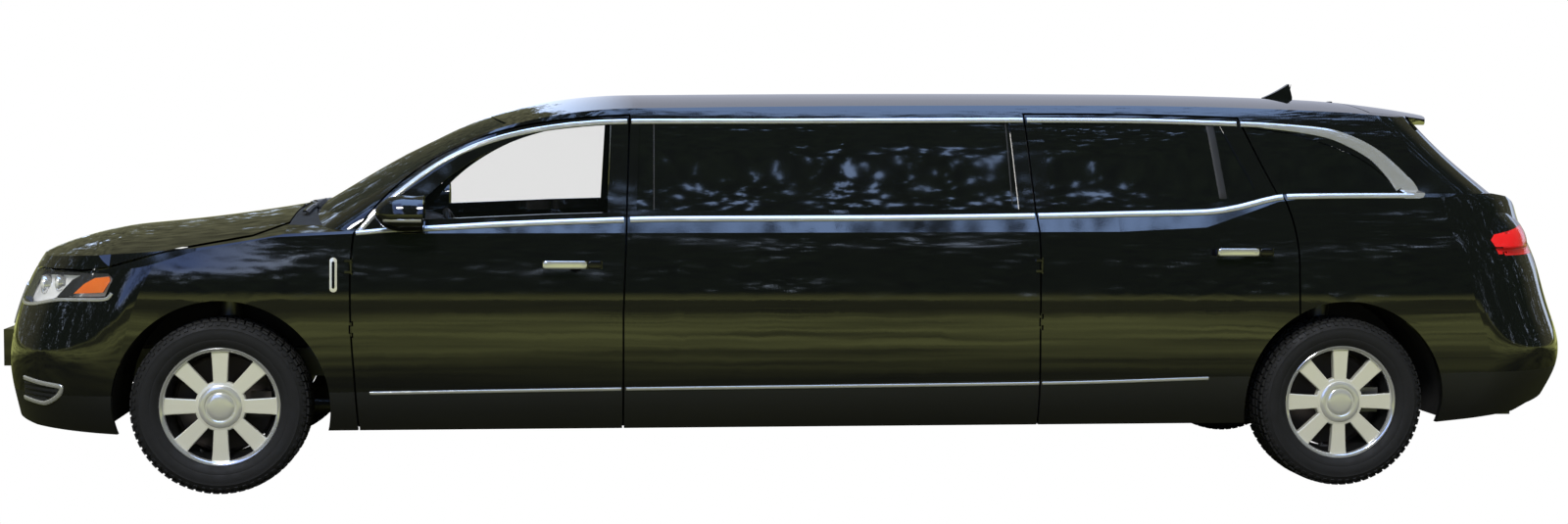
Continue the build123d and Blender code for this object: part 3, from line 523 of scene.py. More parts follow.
def settle(name: str, mesh: Mesh, finish: Finish, body: str, sharp: float) -> Piece:
    """Cleans a mesh, turns its faces outwards and makes it a piece on a body.

    Args:
        name: the piece's name.
        mesh: the finished mesh, placed in the car's frame.
        finish: what the piece is finished in.
        body: the CAD body that carries it.
        sharp: edges that turn by more than this many degrees stay sharp.

    Returns:
        The new piece.
    """
    work = bmesh.new()
    work.from_mesh(mesh)
    bmesh.ops.remove_doubles(work, verts=work.verts, dist=1e-5)
    bmesh.ops.dissolve_degenerate(work, edges=work.edges, dist=1e-6)
    bmesh.ops.recalc_face_normals(work, faces=work.faces)
    work.to_mesh(mesh)
    work.free()
    mesh.polygons.foreach_set("use_smooth", [True] * len(mesh.polygons))
    mesh.set_sharp_from_angle(angle=math.radians(sharp))
    mesh.materials.clear()
    mesh.materials.append(finish.material)
    piece = bpy.data.objects.new(name, mesh)
    bpy.context.scene.collection.objects.link(piece)
    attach(piece, body)
    return piece


def smooth_path(corners: Sequence[Sequence[float]], count: int) -> list[Vector]:
    """Points at even steps along a smooth curve through a few corners.

    Args:
        corners: the points that the curve passes, in any number of dimensions.
        count: how many points to return.

    Returns:
        The points, ends included.
    """
    knots = [Vector(c) for c in corners]
    knots = [2 * knots[0] - knots[1], *knots, 2 * knots[-1] - knots[-2]]
    dense = []
    for a, b, c, d in zip(knots, knots[1:], knots[2:], knots[3:]):
        for step in range(16):
            t = step / 16
            slope, bend, twist = c - a, 2 * a - 5 * b + 4 * c - d, 3 * b - a - 3 * c + d
            dense.append(0.5 * (2 * b + slope * t + bend * t * t + twist * t**3))
    dense.append(knots[-2])
    reach = [0.0]
    for a, b in zip(dense, dense[1:]):
        reach.append(reach[-1] + (b - a).length)
    out, at = [], 0
    for i in range(count):
        want = reach[-1] * i / (count - 1)
        while at < len(reach) - 2 and reach[at + 1] < want:
            at += 1
        gap = reach[at + 1] - reach[at] or 1.0
        out.append(dense[at].lerp(dense[at + 1], (want - reach[at]) / gap))
    return out


def ring_faces(rings: int, around: int, closed: bool = True, first: int = 0) -> Faces:
    """Quads that join rows of points, one row after another.

    Args:
        rings: how many rows there are.
        around: how many points a row has.
        closed: whether each row joins its own end.
        first: the number of the first point.

    Returns:
        The faces.
    """
    faces = []
    for r in range(rings - 1):
        for a in range(around if closed else around - 1):
            b = (a + 1) % around
            low, top = first + r * around, first + (r + 1) * around
            faces.append((low + a, low + b, top + b, top + a))
    return faces


def sweep(
    name: str, rows: Sequence[Sequence[Vector]], finish: Finish, body: str = BODY, sharp: float = 35.0
) -> Piece:
    """Makes a piece from closed sections, one after another, with flat ends.

    Args:
        name: the piece's name.
        rows: the sections, all with the same number of points.
        finish: what the piece is finished in.
        body: the CAD body that carries it.
        sharp: edges that turn by more than this many degrees stay sharp.

    Returns:
        The new piece.
    """
    around = len(rows[0])
    points = [p for row in rows for p in row]
    faces = ring_faces(len(rows), around)
    faces.append(tuple(reversed(range(around))))
    faces.append(tuple(range(len(points) - around, len(points))))
    return mesh_piece(name, points, faces, finish, body, sharp)


def lathe(profile: Outline, steps: int = 64, scale: float = MM) -> Shell:
    """Turns a profile about the Z axis.

    Args:
        profile: rows of radius and height; a radius of zero makes a pole.
        steps: how many faces go round.
        scale: the profile's unit in metres.

    Returns:
        The points and the faces.
    """
    points = []
    for radius, height in profile:
        for i in range(steps):
            turn = 2 * math.pi * i / steps
            across = radius * scale
            points.append(Vector((across * math.cos(turn), across * math.sin(turn), height * scale)))
    return points, ring_faces(len(profile), steps)


def turned(points: Iterable[Vector], centre: Vector, axis: Vector) -> list[Vector]:
    """Carries points made about the Z axis onto another axis.

    Args:
        points: points about the Z axis.
        centre: where the origin goes.
        axis: where the Z axis goes.

    Returns:
        The moved points.
    """
    turn = Vector((0, 0, 1)).rotation_difference(axis.normalized()).to_matrix()
    return [centre + turn @ p for p in points]


def turn_piece(
    name: str, profile: Outline, centre: Vector, axis: Vector, finish: Finish, body: str = BODY,
    steps: int = 40, sharp: float = 35.0,
) -> Piece:
    """Makes a piece from a profile turned about an axis.

    Args:
        name: the piece's name.
        profile: rows of radius and height.
        centre: where the profile's origin goes.
        axis: the way that its heights run.
        finish: what the piece is finished in.
        body: the CAD body that carries it.
        steps: how many faces go round.
        sharp: edges that turn by more than this many degrees stay sharp.

    Returns:
        The new piece.
    """
    points, faces = lathe(profile, steps)
    return mesh_piece(name, turned(points, centre, axis), faces, finish, body, sharp)


def rounded_rectangle(
    width: float, height: float, radius: float, steps: int = 5
) -> list[tuple[float, float]]:
    """The outline of a rectangle with round corners about its middle.

    Args:
        width: the first size.
        height: the second size.
        radius: the corners' radius.
        steps: faces to each corner.

    Returns:
        The outline's points, in order.
    """
    out = []
    for quarter, (sx, sy) in enumerate(((1, 1), (-1, 1), (-1, -1), (1, -1))):
        for i in range(steps + 1):
            turn = math.pi / 2 * (quarter + i / steps)
            out.append((
                sx * (width / 2 - radius) + radius * math.cos(turn),
                sy * (height / 2 - radius) + radius * math.sin(turn),
            ))
    return out


class Skin:
    """The outer skin of the car, on which trim is laid."""

    reach = 4.0

    def __init__(self, *parts: str) -> None:
        """Collects the surfaces of the CAD nodes whose names start with these words.

        Args:
            parts: the starts of the nodes' names.
        """
        points: list[Vector] = []
        faces: Faces = []
        for name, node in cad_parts.items():
            if name.startswith(parts):
                start = len(points)
                points.extend(v.co.copy() for v in node.data.vertices)
                faces.extend(tuple(start + i for i in p.vertices) for p in node.data.polygons)
        self.tree = BVHTree.FromPolygons(points, faces)

    def hit(self, origin: Vector, way: Vector) -> Place | None:
        """Finds the first place on the skin along a ray.

        Args:
            origin: where the ray starts.
            way: the way it points.

        Returns:
            The place and its outward normal, or nothing.
        """
        place, normal, _, _ = self.tree.ray_cast(origin, way, self.reach)
        if place is None:
            return None
        return (place, normal if normal.dot(way) < 0 else -normal)

    def trace(self, flat: Sequence[Vector], side: Side, jump: float = 12.0) -> list[Place]:
        """Lays side-view points on one side of the car, mending those that fall in a gap.

        Args:
            flat: points with X and Z in metres.
            side: the side of the car.
            jump: the depth in millimetres past which a point has fallen in a gap.

        Returns:
            Rows of a place and its outward normal.
        """
        found: list[Place | None] = []
        for p in flat:
            found.append(self.hit(*side_ray(side)(p[0], p[1])))
        depth = [abs(h[0].y) if h else -1.0 for h in found]
        for i in range(len(found)):
            reach = min(i, len(found) - 1 - i, 6)
            near = sorted(depth[i - reach: i + reach + 1])
            if not found[i] or depth[i] < near[len(near) // 2] - jump * MM:
                found[i] = None
        good = [i for i, h in enumerate(found) if h]
        out = []
        for i, p in enumerate(flat):
            if found[i]:
                out.append(found[i])
                continue
            low = max((g for g in good if g < i), default=good[0])
            top = min((g for g in good if g > i), default=good[-1])
            share = 0.0 if low == top else (i - low) / (top - low)
            place = found[low][0].lerp(found[top][0], share)
            normal = found[low][1].lerp(found[top][1], share).normalized()
            out.append((Vector((p[0], place.y, p[1])), normal))
        normals = [n for _, n in out]
        for _ in range(2):
            normals = [
                (normals[max(0, i - 1)] + n + normals[min(len(normals) - 1, i + 1)]).normalized()
                for i, n in enumerate(normals)
            ]
        return [(place, normal) for (place, _), normal in zip(out, normals)]


def lay_strip(
    name: str, laid: Sequence[Place], widths: Sequence[float], height: float, finish: Finish,
    body: str = BODY, sink: float = 1.5,
) -> Piece:
    """Lays a rounded strip along places on the skin.

    Args:
        name: the piece's name.
        laid: rows of a place and its outward normal.
        widths: the strip's width at each place, in millimetres.
        height: how far it stands out, in millimetres.
        finish: what the strip is finished in.
        body: the CAD body that carries it.
        sink: how far its foot lies under the skin, in millimetres.

    Returns:
        The new piece.
    """
    half = [(-0.5, -sink), (-0.5, 0.35 * height), (-0.4, 0.8 * height), (-0.2, height)]
    shape = [*half, *((-s, h) for s, h in reversed(half))]
    rows = []
    for i, (place, normal) in enumerate(laid):
        ahead = laid[min(i + 1, len(laid) - 1)][0] - laid[max(i - 1, 0)][0]
        across = ahead.cross(normal).normalized()
        out = across.cross(ahead).normalized()
        out = out if out.dot(normal) > 0 else -out
        rows.append([place + across * (s * widths[i] * MM) + out * (h * MM) for s, h in shape])
    return sweep(name, rows, finish, body, 50)


# ---------------------------------------------------------------- bright trim


def inset(path: Sequence[Vector], depths: Sequence[float]) -> list[Vector]:
    """Moves a side-view path to its right-hand side, seen along its own way.

    Args:
        path: points with X and Z.
        depths: how far to move each, in millimetres.

    Returns:
        The moved points.
    """
    out = []
    for i, p in enumerate(path):
        way = path[min(i + 1, len(path) - 1)] - path[max(i - 1, 0)]
        way.normalize()
        out.append(p + Vector((way[1], -way[0])) * (-depths[i] * MM))
    return out


@dataclass
class BrightTrim:
    """The bright window frame, belt and door strips, split at every shut line."""

    skin: Skin
    stand: float = 5.0
    seam: float = 5.0
    frame_edge: tuple = (
        (-556, 1098, 22), (-644, 1196, 23), (-763, 1299, 24), (-882, 1384, 24), (-1001, 1445, 24),
        (-1121, 1489, 24), (-1241, 1520, 24), (-1361, 1541, 24), (-1481, 1556, 24),
        (-1687, 1568, 24), (-2339, 1576, 24), (-2761, 1582, 24), (-3434, 1590, 24),
        (-3962, 1591, 24), (-4403, 1581, 25), (-4482, 1578, 28), (-4570, 1573, 32), (-4658, 1567, 38),
        (-4725, 1561, 44), (-4791, 1550, 50), (-4859, 1527, 56), (-4926, 1496, 60),
        (-4983, 1460, 64), (-5029, 1419, 70), (-5074, 1374, 80), (-5108, 1334, 90),
    )
    corner: tuple = (
        (-5100, 1342), (-5119, 1319), (-5130, 1298), (-5135, 1282), (-5133, 1268), (-5124, 1259),
        (-5105, 1254), (-5040, 1253), (-5030, 1262), (-5040, 1274),
    )
    belt_edge: tuple = (
        (-556, 1098, 22), (-700, 1112, 24), (-861, 1121, 27), (-1103, 1136, 28), (-1346, 1147, 28),
        (-1673, 1159, 28), (-1919, 1164, 28), (-2751, 1171, 28), (-3419, 1183, 28),
        (-3813, 1193, 28), (-4100, 1200, 28), (-4201, 1207, 28), (-4287, 1222, 28),
        (-4360, 1240, 28), (-4430, 1258, 28), (-4508, 1271, 28), (-4700, 1276, 27),
        (-5040, 1279, 26), (-5092, 1279, 26),
    )
    sill_strip: tuple = ((-612, 431, 14), (-1657, 445, 14), (-3416, 463, 14), (-4175, 483, 14))
    frame_cuts: tuple = (-556, -1687, -3401, -4360, -5120)
    belt_cuts: tuple = (-556, -1671, -3420, -4507, -5094)
    sill_cuts: tuple = (-612, -1659, -3432, -4175)
    bodies: tuple = ("door_front_{}", BODY, "door_rear_{}", BODY)
    names: tuple = ("front_door", "stretch", "rear_door", "quarter")

    def build(self) -> None:
        """Lays every strip on both sides of the car."""
        for side in Side:
            self.run("window_frame", self.frame_edge, self.frame_cuts, side, self.stand)
            self.run("belt", self.belt_edge, self.belt_cuts, side, self.stand + 1)
            self.run("door_strip", self.sill_strip, self.sill_cuts, side, self.stand)
            outline = [front(*p) for p in self.corner]
            lay_patch(
                f"window_corner_{side.word}", outline, side_ray(side), self.skin, CHROME, BODY, 4.8, 6.0,
                0.012, 1.2,
            )

    def run(self, label: str, edge: Sequence[tuple], cuts: Sequence[float], side: Side, stand: float) -> None:
        """Lays one line of trim in as many lengths as there are panels under it.

        Args:
            label: the start of the pieces' names.
            edge: the line's top edge: X from the front axle, height and width.
            cuts: where one panel ends and the next begins.
            side: the side of the car.
            stand: how far the trim stands out.
        """
        line = smooth_path([(*front(x, z), w * MM) for x, z, w in edge], 520)
        flat = [Vector((p[0], p[1])) for p in line]
        widths = [p[2] / MM for p in line]
        middle_line = inset(flat, [w / 2 for w in widths])
        laid = self.skin.trace(middle_line, side)
        for i, (start, end) in enumerate(zip(cuts, cuts[1:])):
            low, top = front(end + self.seam, 0)[0], front(start - (self.seam if i else 0), 0)[0]
            part = [k for k, p in enumerate(middle_line) if low <= p[0] <= top]
            if len(part) < 4:
                continue
            lay_strip(
                f"{label}_{self.names[i]}_{side.word}", [laid[k] for k in part],
                [widths[k] for k in part], stand, CHROME, self.bodies[i].format(side.word),
            )


@dataclass
class Handles:
    """The bright insert and the lock end of every door handle."""

    places: tuple = (("door_front_{}", -1444.0, 961.0), ("door_rear_{}", -4310.0, 1022.0))
    height: float = 32.0
    face: float = 997.5
    crown: tuple = (
        (1.03, -6.0, 0.0), (1.03, 0.4, 0.0), (0.97, 0.0, 0.55), (0.86, 0.0, 0.85), (0.6, 0.0, 1.0)
    )

    def build(self) -> None:
        """Makes both pieces of all four handles."""
        for side in Side:
            for body, x, z in self.places:
                name = body.format(side.word)
                self.cover(f"handle_bright_{name}", name, x + 31, z, 178.0, side, CHROME, 4.0)
                self.cover(f"handle_end_{name}", name, x - 92, z, 58.0, side, GLOSS_BLACK, 3.4)

    def cover(
        self, name: str, body: str, x: float, z: float, length: float, side: Side, finish: Finish, dome: float
    ) -> None:
        """Makes one crowned cover over a stretch of the handle's bar.

        Args:
            name: the piece's name.
            body: the door that carries it.
            x: the cover's middle, ahead of the front axle.
            z: the handle's height.
            length: the cover's length.
            side: the side of the car.
            finish: what it is finished in.
            dome: how far the middle of the cover stands out.
        """
        rows = []
        for grow, foot, share in self.crown:
            tall = self.height * grow
            depth = side.value * (self.face + foot + share * dome) * MM
            ring = rounded_rectangle(length * (grow + 1) / 2, tall, self.height * 0.34 * grow)
            rows.append([Vector((FRONT_AXLE + (x + u) * MM, depth, (z + v) * MM)) for u, v in ring])
        sweep(name, rows, finish, body, 40)


# ---------------------------------------------------------------- wheels


class RepeatTree:
    """A Geometry Nodes tree that sets one shape at even turns round the Y axis."""

    def __init__(self, shape: Piece, finish: Finish) -> None:
        """Builds the tree.

        Args:
            shape: the object to repeat, made at the top of the ring.
            finish: what the repeats are finished in.
        """
        self.tree = bpy.data.node_groups.new("ring_of_" + shape.name, "GeometryNodeTree")
        face = self.tree.interface
        face.new_socket("Geometry", in_out="INPUT", socket_type="NodeSocketGeometry")
        self.sockets = {
            "Count": face.new_socket("Count", in_out="INPUT", socket_type="NodeSocketInt").identifier,
            "First Turn": face.new_socket(
                "First Turn", in_out="INPUT", socket_type="NodeSocketFloat"
            ).identifier,
        }
        face.new_socket("Geometry", in_out="OUTPUT", socket_type="NodeSocketGeometry")
        add = self.tree.nodes.new
        inputs, output = add("NodeGroupInput"), add("NodeGroupOutput")
        points = add("GeometryNodePoints")
        index, turn, offset = add("GeometryNodeInputIndex"), add("ShaderNodeMath"), add("ShaderNodeMath")
        share, spin = add("ShaderNodeMath"), add("ShaderNodeCombineXYZ")
        source, instances = add("GeometryNodeObjectInfo"), add("GeometryNodeInstanceOnPoints")
        realize, paint = add("GeometryNodeRealizeInstances"), add("GeometryNodeSetMaterial")
        share.operation, turn.operation, offset.operation = "DIVIDE", "MULTIPLY", "ADD"
        turn.inputs[1].default_value = 2 * math.pi
        source.inputs["Object"].default_value = shape
        paint.inputs["Material"].default_value = finish.material
        join = self.tree.links.new
        join(inputs.outputs["Count"], points.inputs["Count"])
        join(index.outputs[0], share.inputs[0])
        join(inputs.outputs["Count"], share.inputs[1])
        join(share.outputs[0], turn.inputs[0])
        join(turn.outputs[0], offset.inputs[0])
        join(inputs.outputs["First Turn"], offset.inputs[1])
        join(offset.outputs[0], spin.inputs["Y"])
        join(points.outputs[0], instances.inputs["Points"])
        join(source.outputs["Geometry"], instances.inputs["Instance"])
        join(spin.outputs[0], instances.inputs["Rotation"])
        join(instances.outputs[0], realize.inputs[0])
        join(realize.outputs[0], paint.inputs["Geometry"])
        join(paint.outputs[0], output.inputs[0])

    def mesh(self, count: int, first_turn: float) -> Mesh:
        """Runs the tree and returns its result as a plain mesh.

        Args:
            count: how many repeats go round.
            first_turn: the first one's turn in radians.

        Returns:
            The mesh, about the origin.
        """
        carrier = bpy.data.objects.new("carrier", bpy.data.meshes.new("carrier"))
        bpy.context.scene.collection.objects.link(carrier)
        modifier = carrier.modifiers.new("ring", "NODES")
        modifier.node_group = self.tree
        modifier[self.sockets["Count"]] = count
        modifier[self.sockets["First Turn"]] = first_turn
        graph = bpy.context.evaluated_depsgraph_get()
        mesh = bpy.data.meshes.new_from_object(carrier.evaluated_get(graph))
        bpy.data.objects.remove(carrier)
        return mesh


@dataclass(frozen=True)
class TreadRow:
    """One ring of tread blocks: where it lies across the tyre and how its blocks lie."""

    across: float
    width: float
    length: float
    lean: float
    count: int
    phase: float = 0.0
    drop: float = 0.0


@dataclass
class Tyre:
    """A road tyre with ribbed shoulders, drawn for one wheel and moved to all four."""

    radius: float = 366.0
    tread_depth: float = 8.0
    around: int = 128
    lugs: int = 64
    shoulder: tuple = ((354.0, 95.0, 12.0), (349.0, 104.5, 12.0), (338.0, 111.5, 8.0))
    sipe: float = 1.2
    rows: tuple = (
        TreadRow(-82.0, 34.0, 26.0, 0.0, 64, 0.0, 3.2), TreadRow(-44.0, 28.0, 28.0, 0.35, 62, 0.4),
        TreadRow(0.0, 30.0, 30.0, 0.2, 60, 0.2), TreadRow(44.0, 28.0, 28.0, 0.35, 62, 0.7),
        TreadRow(82.0, 34.0, 26.0, 0.0, 64, 0.5, 3.2),
    )
    walls: tuple = (
        (229.5, 83.0), (240.0, 85.5), (246.5, 92.0), (250.0, 101.0), (262.0, 108.5), (278.0, 113.6),
        (281.0, 113.3), (284.0, 114.6), (300.0, 116.6), (312.0, 116.8), (322.0, 115.0), (325.0, 115.6),
        (328.0, 113.4), (340.0, 109.0), (349.0, 103.0), (353.5, 97.0), (356.5, 86.0),
        (357.5, 66.0), (358.0, 40.0), (358.3, 0.0),
    )

    def build(self) -> None:
        """Makes a tyre for every wheel."""
        parts = self.parts()
        for corner, axle, side in CORNERS:
            centre = Vector((axle, side.value * WHEEL_SEAT, AXLE_HEIGHT))
            mesh = bpy.data.meshes.new(f"tyre_{corner}")
            work = bmesh.new()
            for part in parts:
                work.from_mesh(part)
            for vert in work.verts:
                vert.co = Vector((vert.co.x, side.value * vert.co.y, vert.co.z)) + centre
            work.to_mesh(mesh)
            work.free()
            piece = settle(f"road_tyre_{corner}", mesh, RUBBER, f"wheel_{corner}", 28)
            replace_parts(piece, f"tyre_{corner}")

    def parts(self) -> list[Mesh]:
        """The carcass and the tread rings, about the Y axis and the origin.

        Returns:
            The meshes, to be joined.
        """
        profile = [*self.walls, *((r, -w) for r, w in reversed(self.walls[:-1]))]
        around = self.around
        points, faces = lathe(profile, around)
        start = len(points) - around
        faces.extend((start + i, start + (i + 1) % around, (i + 1) % around, i) for i in range(around))
        carcass = bpy.data.meshes.new("carcass")
        carcass.from_pydata([(p.x, p.z, p.y) for p in points], [], faces)
        meshes = [carcass]
        for number, row in enumerate(self.rows):
            block = self.block(row, number)
            meshes.append(RepeatTree(block, RUBBER).mesh(row.count, row.phase * 2 * math.pi / row.count))
            bpy.data.objects.remove(block)
        for way in (-1, 1):
            lug = self.lug(way)
            meshes.append(RepeatTree(lug, RUBBER).mesh(self.lugs, 0.0))
            bpy.data.objects.remove(lug)
        return meshes

    def block(self, row: TreadRow, number: int) -> Piece:
        """One tread block at the top of the tyre, with a sipe across its face.

        Args:
            row: the ring that the block belongs to.
            number: the ring's number, for the block's name.

        Returns:
            The block.
        """
        half, long = row.width / 2, row.length / 2
        top, foot = self.radius - row.drop, self.radius - self.tread_depth - 3
        sipe, end = self.sipe, half * 0.2
        outline = [(-long, -half), (-sipe, -half), (-sipe, end), (sipe, end), (sipe, -half)]
        outline += [(long, -half), (long, half), (-long, half)]
        points = []
        for height, spread in ((foot, 1.06), (top - sipe, 1.0), (top, 0.94)):
            for along, over in outline:
                leaned = along * spread + over * row.lean * 0.5
                edge = row.across + over * (spread if abs(over) == half else 1)
                bend = math.sqrt(max(height**2 - leaned**2, 1.0))
                points.append((leaned * MM, edge * MM, bend * MM))
        count = len(outline)
        faces = ring_faces(3, count)
        faces.append(tuple(range(2 * count, 3 * count)))
        return self.shape(f"tread_block_{number}", points, faces)

    def lug(self, way: int) -> Piece:
        """One shoulder lug, between the tread and the side wall.

        Args:
            way: 1 for the outer shoulder and -1 for the inner one.

        Returns:
            The lug.
        """
        rows = []
        for radius, out, half in self.shoulder:
            foot = (way * (out - 4) * MM, (radius - 3) * MM)
            top = (way * (out + 1.8) * MM, (radius + 1.6) * MM)
            rows += [(-half * MM, *foot), (half * MM, *foot)]
            rows += [(half * 0.85 * MM, *top), (-half * 0.85 * MM, *top)]
        faces = ring_faces(3, 4) + [(3, 2, 1, 0), (8, 9, 10, 11)]
        return self.shape(f"shoulder_lug_{'outer' if way > 0 else 'inner'}", rows, faces)

    @staticmethod
    def shape(name: str, points: Sequence, faces: Sequence) -> Piece:
        """A loose object that only serves as a repeated shape.

        Args:
            name: the object's name.
            points: its corners, in metres.
            faces: rows of corner numbers.

        Returns:
            The object.
        """
        mesh = bpy.data.meshes.new(name)
        mesh.from_pydata(points, [], faces)
        shape = bpy.data.objects.new(name, mesh)
        bpy.context.scene.collection.objects.link(shape)
        return shape


CORNERS = [
    ("front_left", FRONT_AXLE, Side.LEFT),
    ("front_right", FRONT_AXLE, Side.RIGHT),
    ("rear_left", REAR_AXLE, Side.LEFT),
    ("rear_right", REAR_AXLE, Side.RIGHT),
]


@dataclass
class WheelDress:
    """Hub cap, lip, barrel lining darkened as painted shade, brake shield, hub disc, valve and spokes of each
    wheel.
    """

    face: float = 82.0
    steps: int = 96
    spoke_count: int = 8
    spoke: tuple = ((84.0, 27.5), (125.0, 29.5), (190.0, 33.0), (229.0, 36.5))
    spoke_levels: tuple = ((-32.0, 1.5), (-3.0, 0.0), (0.0, 3.0))
    valve_radius: float = 206.0
    valve_seat: float = 62.0
    valve_turn: float = math.radians(22.5)
    valve_lean: float = 0.35
    stem: tuple = (
        (0.0, 30.0), (4.0, 30.0), (4.2, 22.0), (3.0, 20.0), (3.0, 6.0), (5.5, 4.0), (6.0, 0.0), (0.0, 0.0),
    )
    cap: tuple = (
        (0.0, 92.0), (20.0, 92.0), (40.0, 91.4), (54.0, 89.6), (57.0, 87.4), (61.0, 87.4), (64.0, 90.0),
        (72.0, 90.8), (81.0, 89.6), (88.0, 86.0), (90.5, 81.0),
    )
    lip: tuple = (
        (227.5, 79.0), (228.5, 85.0), (231.0, 90.5), (236.0, 95.0), (243.0, 96.6), (246.5, 94.6),
        (246.8, 90.0),
    )
    lining: tuple = (
        (228.3, 84.0), (227.0, 66.0), (222.0, 52.0), (214.0, 30.0), (211.0, -20.0), (212.0, -80.0),
        (218.0, -91.0), (240.0, -94.5), (246.0, -94.0),
    )
    disc: tuple = ((14.0, 84.0), (94.0, 83.0), (101.0, 81.5), (105.0, 77.0), (106.0, 54.0))
    shield: tuple = ((62.0, -52.0), (150.0, -56.0), (196.0, -50.0), (206.0, -30.0), (206.0, -20.0))

    def build(self) -> None:
        """Dresses all four wheels."""
        for corner, axle, side in CORNERS:
            centre = Vector((axle, side.value * WHEEL_SEAT, AXLE_HEIGHT))
            axis = Vector((0, side.value, 0))
            wheel = f"wheel_{corner}"
            carrier = f"steer_{side.word}" if "front" in corner else BODY
            for name, profile, finish, body, wall in (
                ("hub_cap", self.cap, HUB_METAL, wheel, 2.5),
                ("rim_lip", self.lip, CHROME, wheel, 2.0),
                # The barrel's near-black finish is painted shade.
                ("rim_barrel", self.lining, RIM_BARREL_PAINTED_SHADE, wheel, 0.8),
                ("brake_shield", self.shield, CAST, carrier, 2.0),
            ):
                self.ring(f"{name}_{corner}", profile, centre, axis, finish, body, wall)
            self.valve(corner, centre, axis)
            self.ring(f"hub_disc_{corner}", self.disc, centre, axis, RIM_METAL_WARM_REFLECTION, wheel, 4.0)
            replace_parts(self.spokes(corner, centre, axis), f"rim_{corner}")

    def ring(
        self, name: str, profile: Outline, centre: Vector, axis: Vector, finish: Finish, body: str,
        wall: float,
    ) -> None:
        """Turns a profile about the axle and gives it a wall.

        Args:
            name: the piece's name.
            profile: rows of radius and height over the wheel's middle.
            centre: the wheel's middle.
            axis: the way out along the axle.
            finish: what the piece is finished in.
            body: the CAD body that carries it.
            wall: its thickness in millimetres.
        """
        steps = self.steps
        points, faces = lathe(profile, steps)
        back, _ = lathe([(r, h - wall) for r, h in profile], steps)
        count = len(points)
        faces += [tuple(reversed([count + i for i in f])) for f in faces]
        last = count - steps
        for i in range(steps):
            j = (i + 1) % steps
            faces.append((i, j, count + j, count + i))
            faces.append((last + j, last + i, count + last + i, count + last + j))
        mesh_piece(name, turned([*points, *back], centre, axis), faces, finish, body, 30)

    def valve(self, corner: str, centre: Vector, axis: Vector) -> None:
        """The tyre's valve, in a window of the wheel.

        Args:
            corner: the wheel's corner of the car.
            centre: the wheel's middle.
            axis: the way out along the axle.
        """
        across = self.valve_radius * MM * math.sin(self.valve_turn)
        down = -self.valve_radius * MM * math.cos(self.valve_turn)
        seat = centre + Vector((across, 0, down)) + axis * (self.valve_seat * MM)
        way = (axis + Vector((0, 0, self.valve_lean))).normalized()
        turn_piece(f"tyre_valve_{corner}", self.stem, seat, way, RUBBER, f"wheel_{corner}", 16)

    def spokes(self, corner: str, centre: Vector, axis: Vector) -> Piece:
        """Flat spokes with bevelled edges, from the hub's disc out to the lip.

        Args:
            corner: the wheel's corner of the car.
            centre: the wheel's middle.
            axis: the way out along the axle.

        Returns:
            All the wheel's spokes as one piece.
        """
        outline = [*self.spoke, *((r, -w) for r, w in reversed(self.spoke))]
        around, levels = len(outline), len(self.spoke_levels)
        points, faces = [], []
        for i in range(self.spoke_count):
            turn = Matrix.Rotation(2 * math.pi * i / self.spoke_count, 3, "Z")
            for rise, trim in self.spoke_levels:
                for r, w in outline:
                    half = w - math.copysign(trim, w)
                    points.append(turn @ Vector((r * MM, half * MM, (self.face + rise) * MM)))
            base = i * levels * around
            faces.extend(ring_faces(levels, around, first=base))
            faces.append(tuple(base + (levels - 1) * around + k for k in range(around)))
            faces.append(tuple(base + k for k in reversed(range(around))))
        points = turned(points, centre, axis)
        return mesh_piece(f"spoke_faces_{corner}", points, faces, RIM_METAL_WARM_REFLECTION, f"wheel_{corner}", 20)


# ---------------------------------------------------------------- lamps


def side_ray(side: Side) -> Ray:
    """Rays straight in from one side of the car, for side-view points.

    Args:
        side: the side of the car.

    Returns:
        A function from X and Z to a ray's start and way.
    """
    return lambda x, z: (Vector((x, side.value * OUTSIDE_Y, z)), Vector((0, -side.value, 0)))


def end_ray(facing: int) -> Ray:
    """Rays straight in from the nose or the tail, for end-view points.

    Args:
        facing: 1 for the nose and -1 for the tail.

    Returns:
        A function from Y and Z to a ray's start and way.
    """
    return lambda y, z: (Vector((facing * OUTSIDE_X, y, z)), Vector((-facing, 0, 0)))


def corner_ray(side: Side, middle_x: float) -> Ray:
    """Rays in towards an upright line, for points given by turn and height.

    Args:
        side: the side of the car.
        middle_x: the line's X in metres.

    Returns:
        A function from a turn away from straight ahead, in radians, and Z to a ray.
    """

    def ray(turn: float, z: float) -> Place:
        """The ray at one turn and height."""
        way = Vector((math.cos(turn), side.value * math.sin(turn), 0))
        return Vector((middle_x, 0, z)) + way * 3.0, -way

    return ray


def gridded(outline: Outline, step: float) -> tuple[list[Vector], list[list[int]], list[int]]:
    """Cuts a flat outline into cells no larger than a step.

    Args:
        outline: the outline's corners.
        step: the cells' size.

    Returns:
        The points, the faces and the numbers of the points on the edge, in order.
    """
    work = bmesh.new()
    work.faces.new([work.verts.new((u, v, 0)) for u, v in outline])
    for axis in (0, 1):
        low = min(p[axis] for p in outline)
        top = max(p[axis] for p in outline)
        count = max(1, int((top - low) / step))
        for i in range(1, count + 1):
            place, normal = Vector((0, 0, 0)), Vector((0, 0, 0))
            place[axis] = low + (top - low) * i / (count + 1)
            normal[axis] = 1.0
            bmesh.ops.bisect_plane(
                work, geom=work.verts[:] + work.edges[:] + work.faces[:], plane_co=place, plane_no=normal
            )
    work.verts.index_update()
    work.faces.ensure_lookup_table()
    points = [v.co.copy() for v in work.verts]
    faces = [[v.index for v in f.verts] for f in work.faces]
    edge = next(e for e in work.edges if e.is_boundary)
    loop, vert = [edge.verts[0].index], edge.verts[1]
    while vert.index != loop[0]:
        loop.append(vert.index)
        edge = next(e for e in vert.link_edges if e.is_boundary and e is not edge)
        vert = edge.other_vert(vert)
    work.free()
    return points, faces, loop


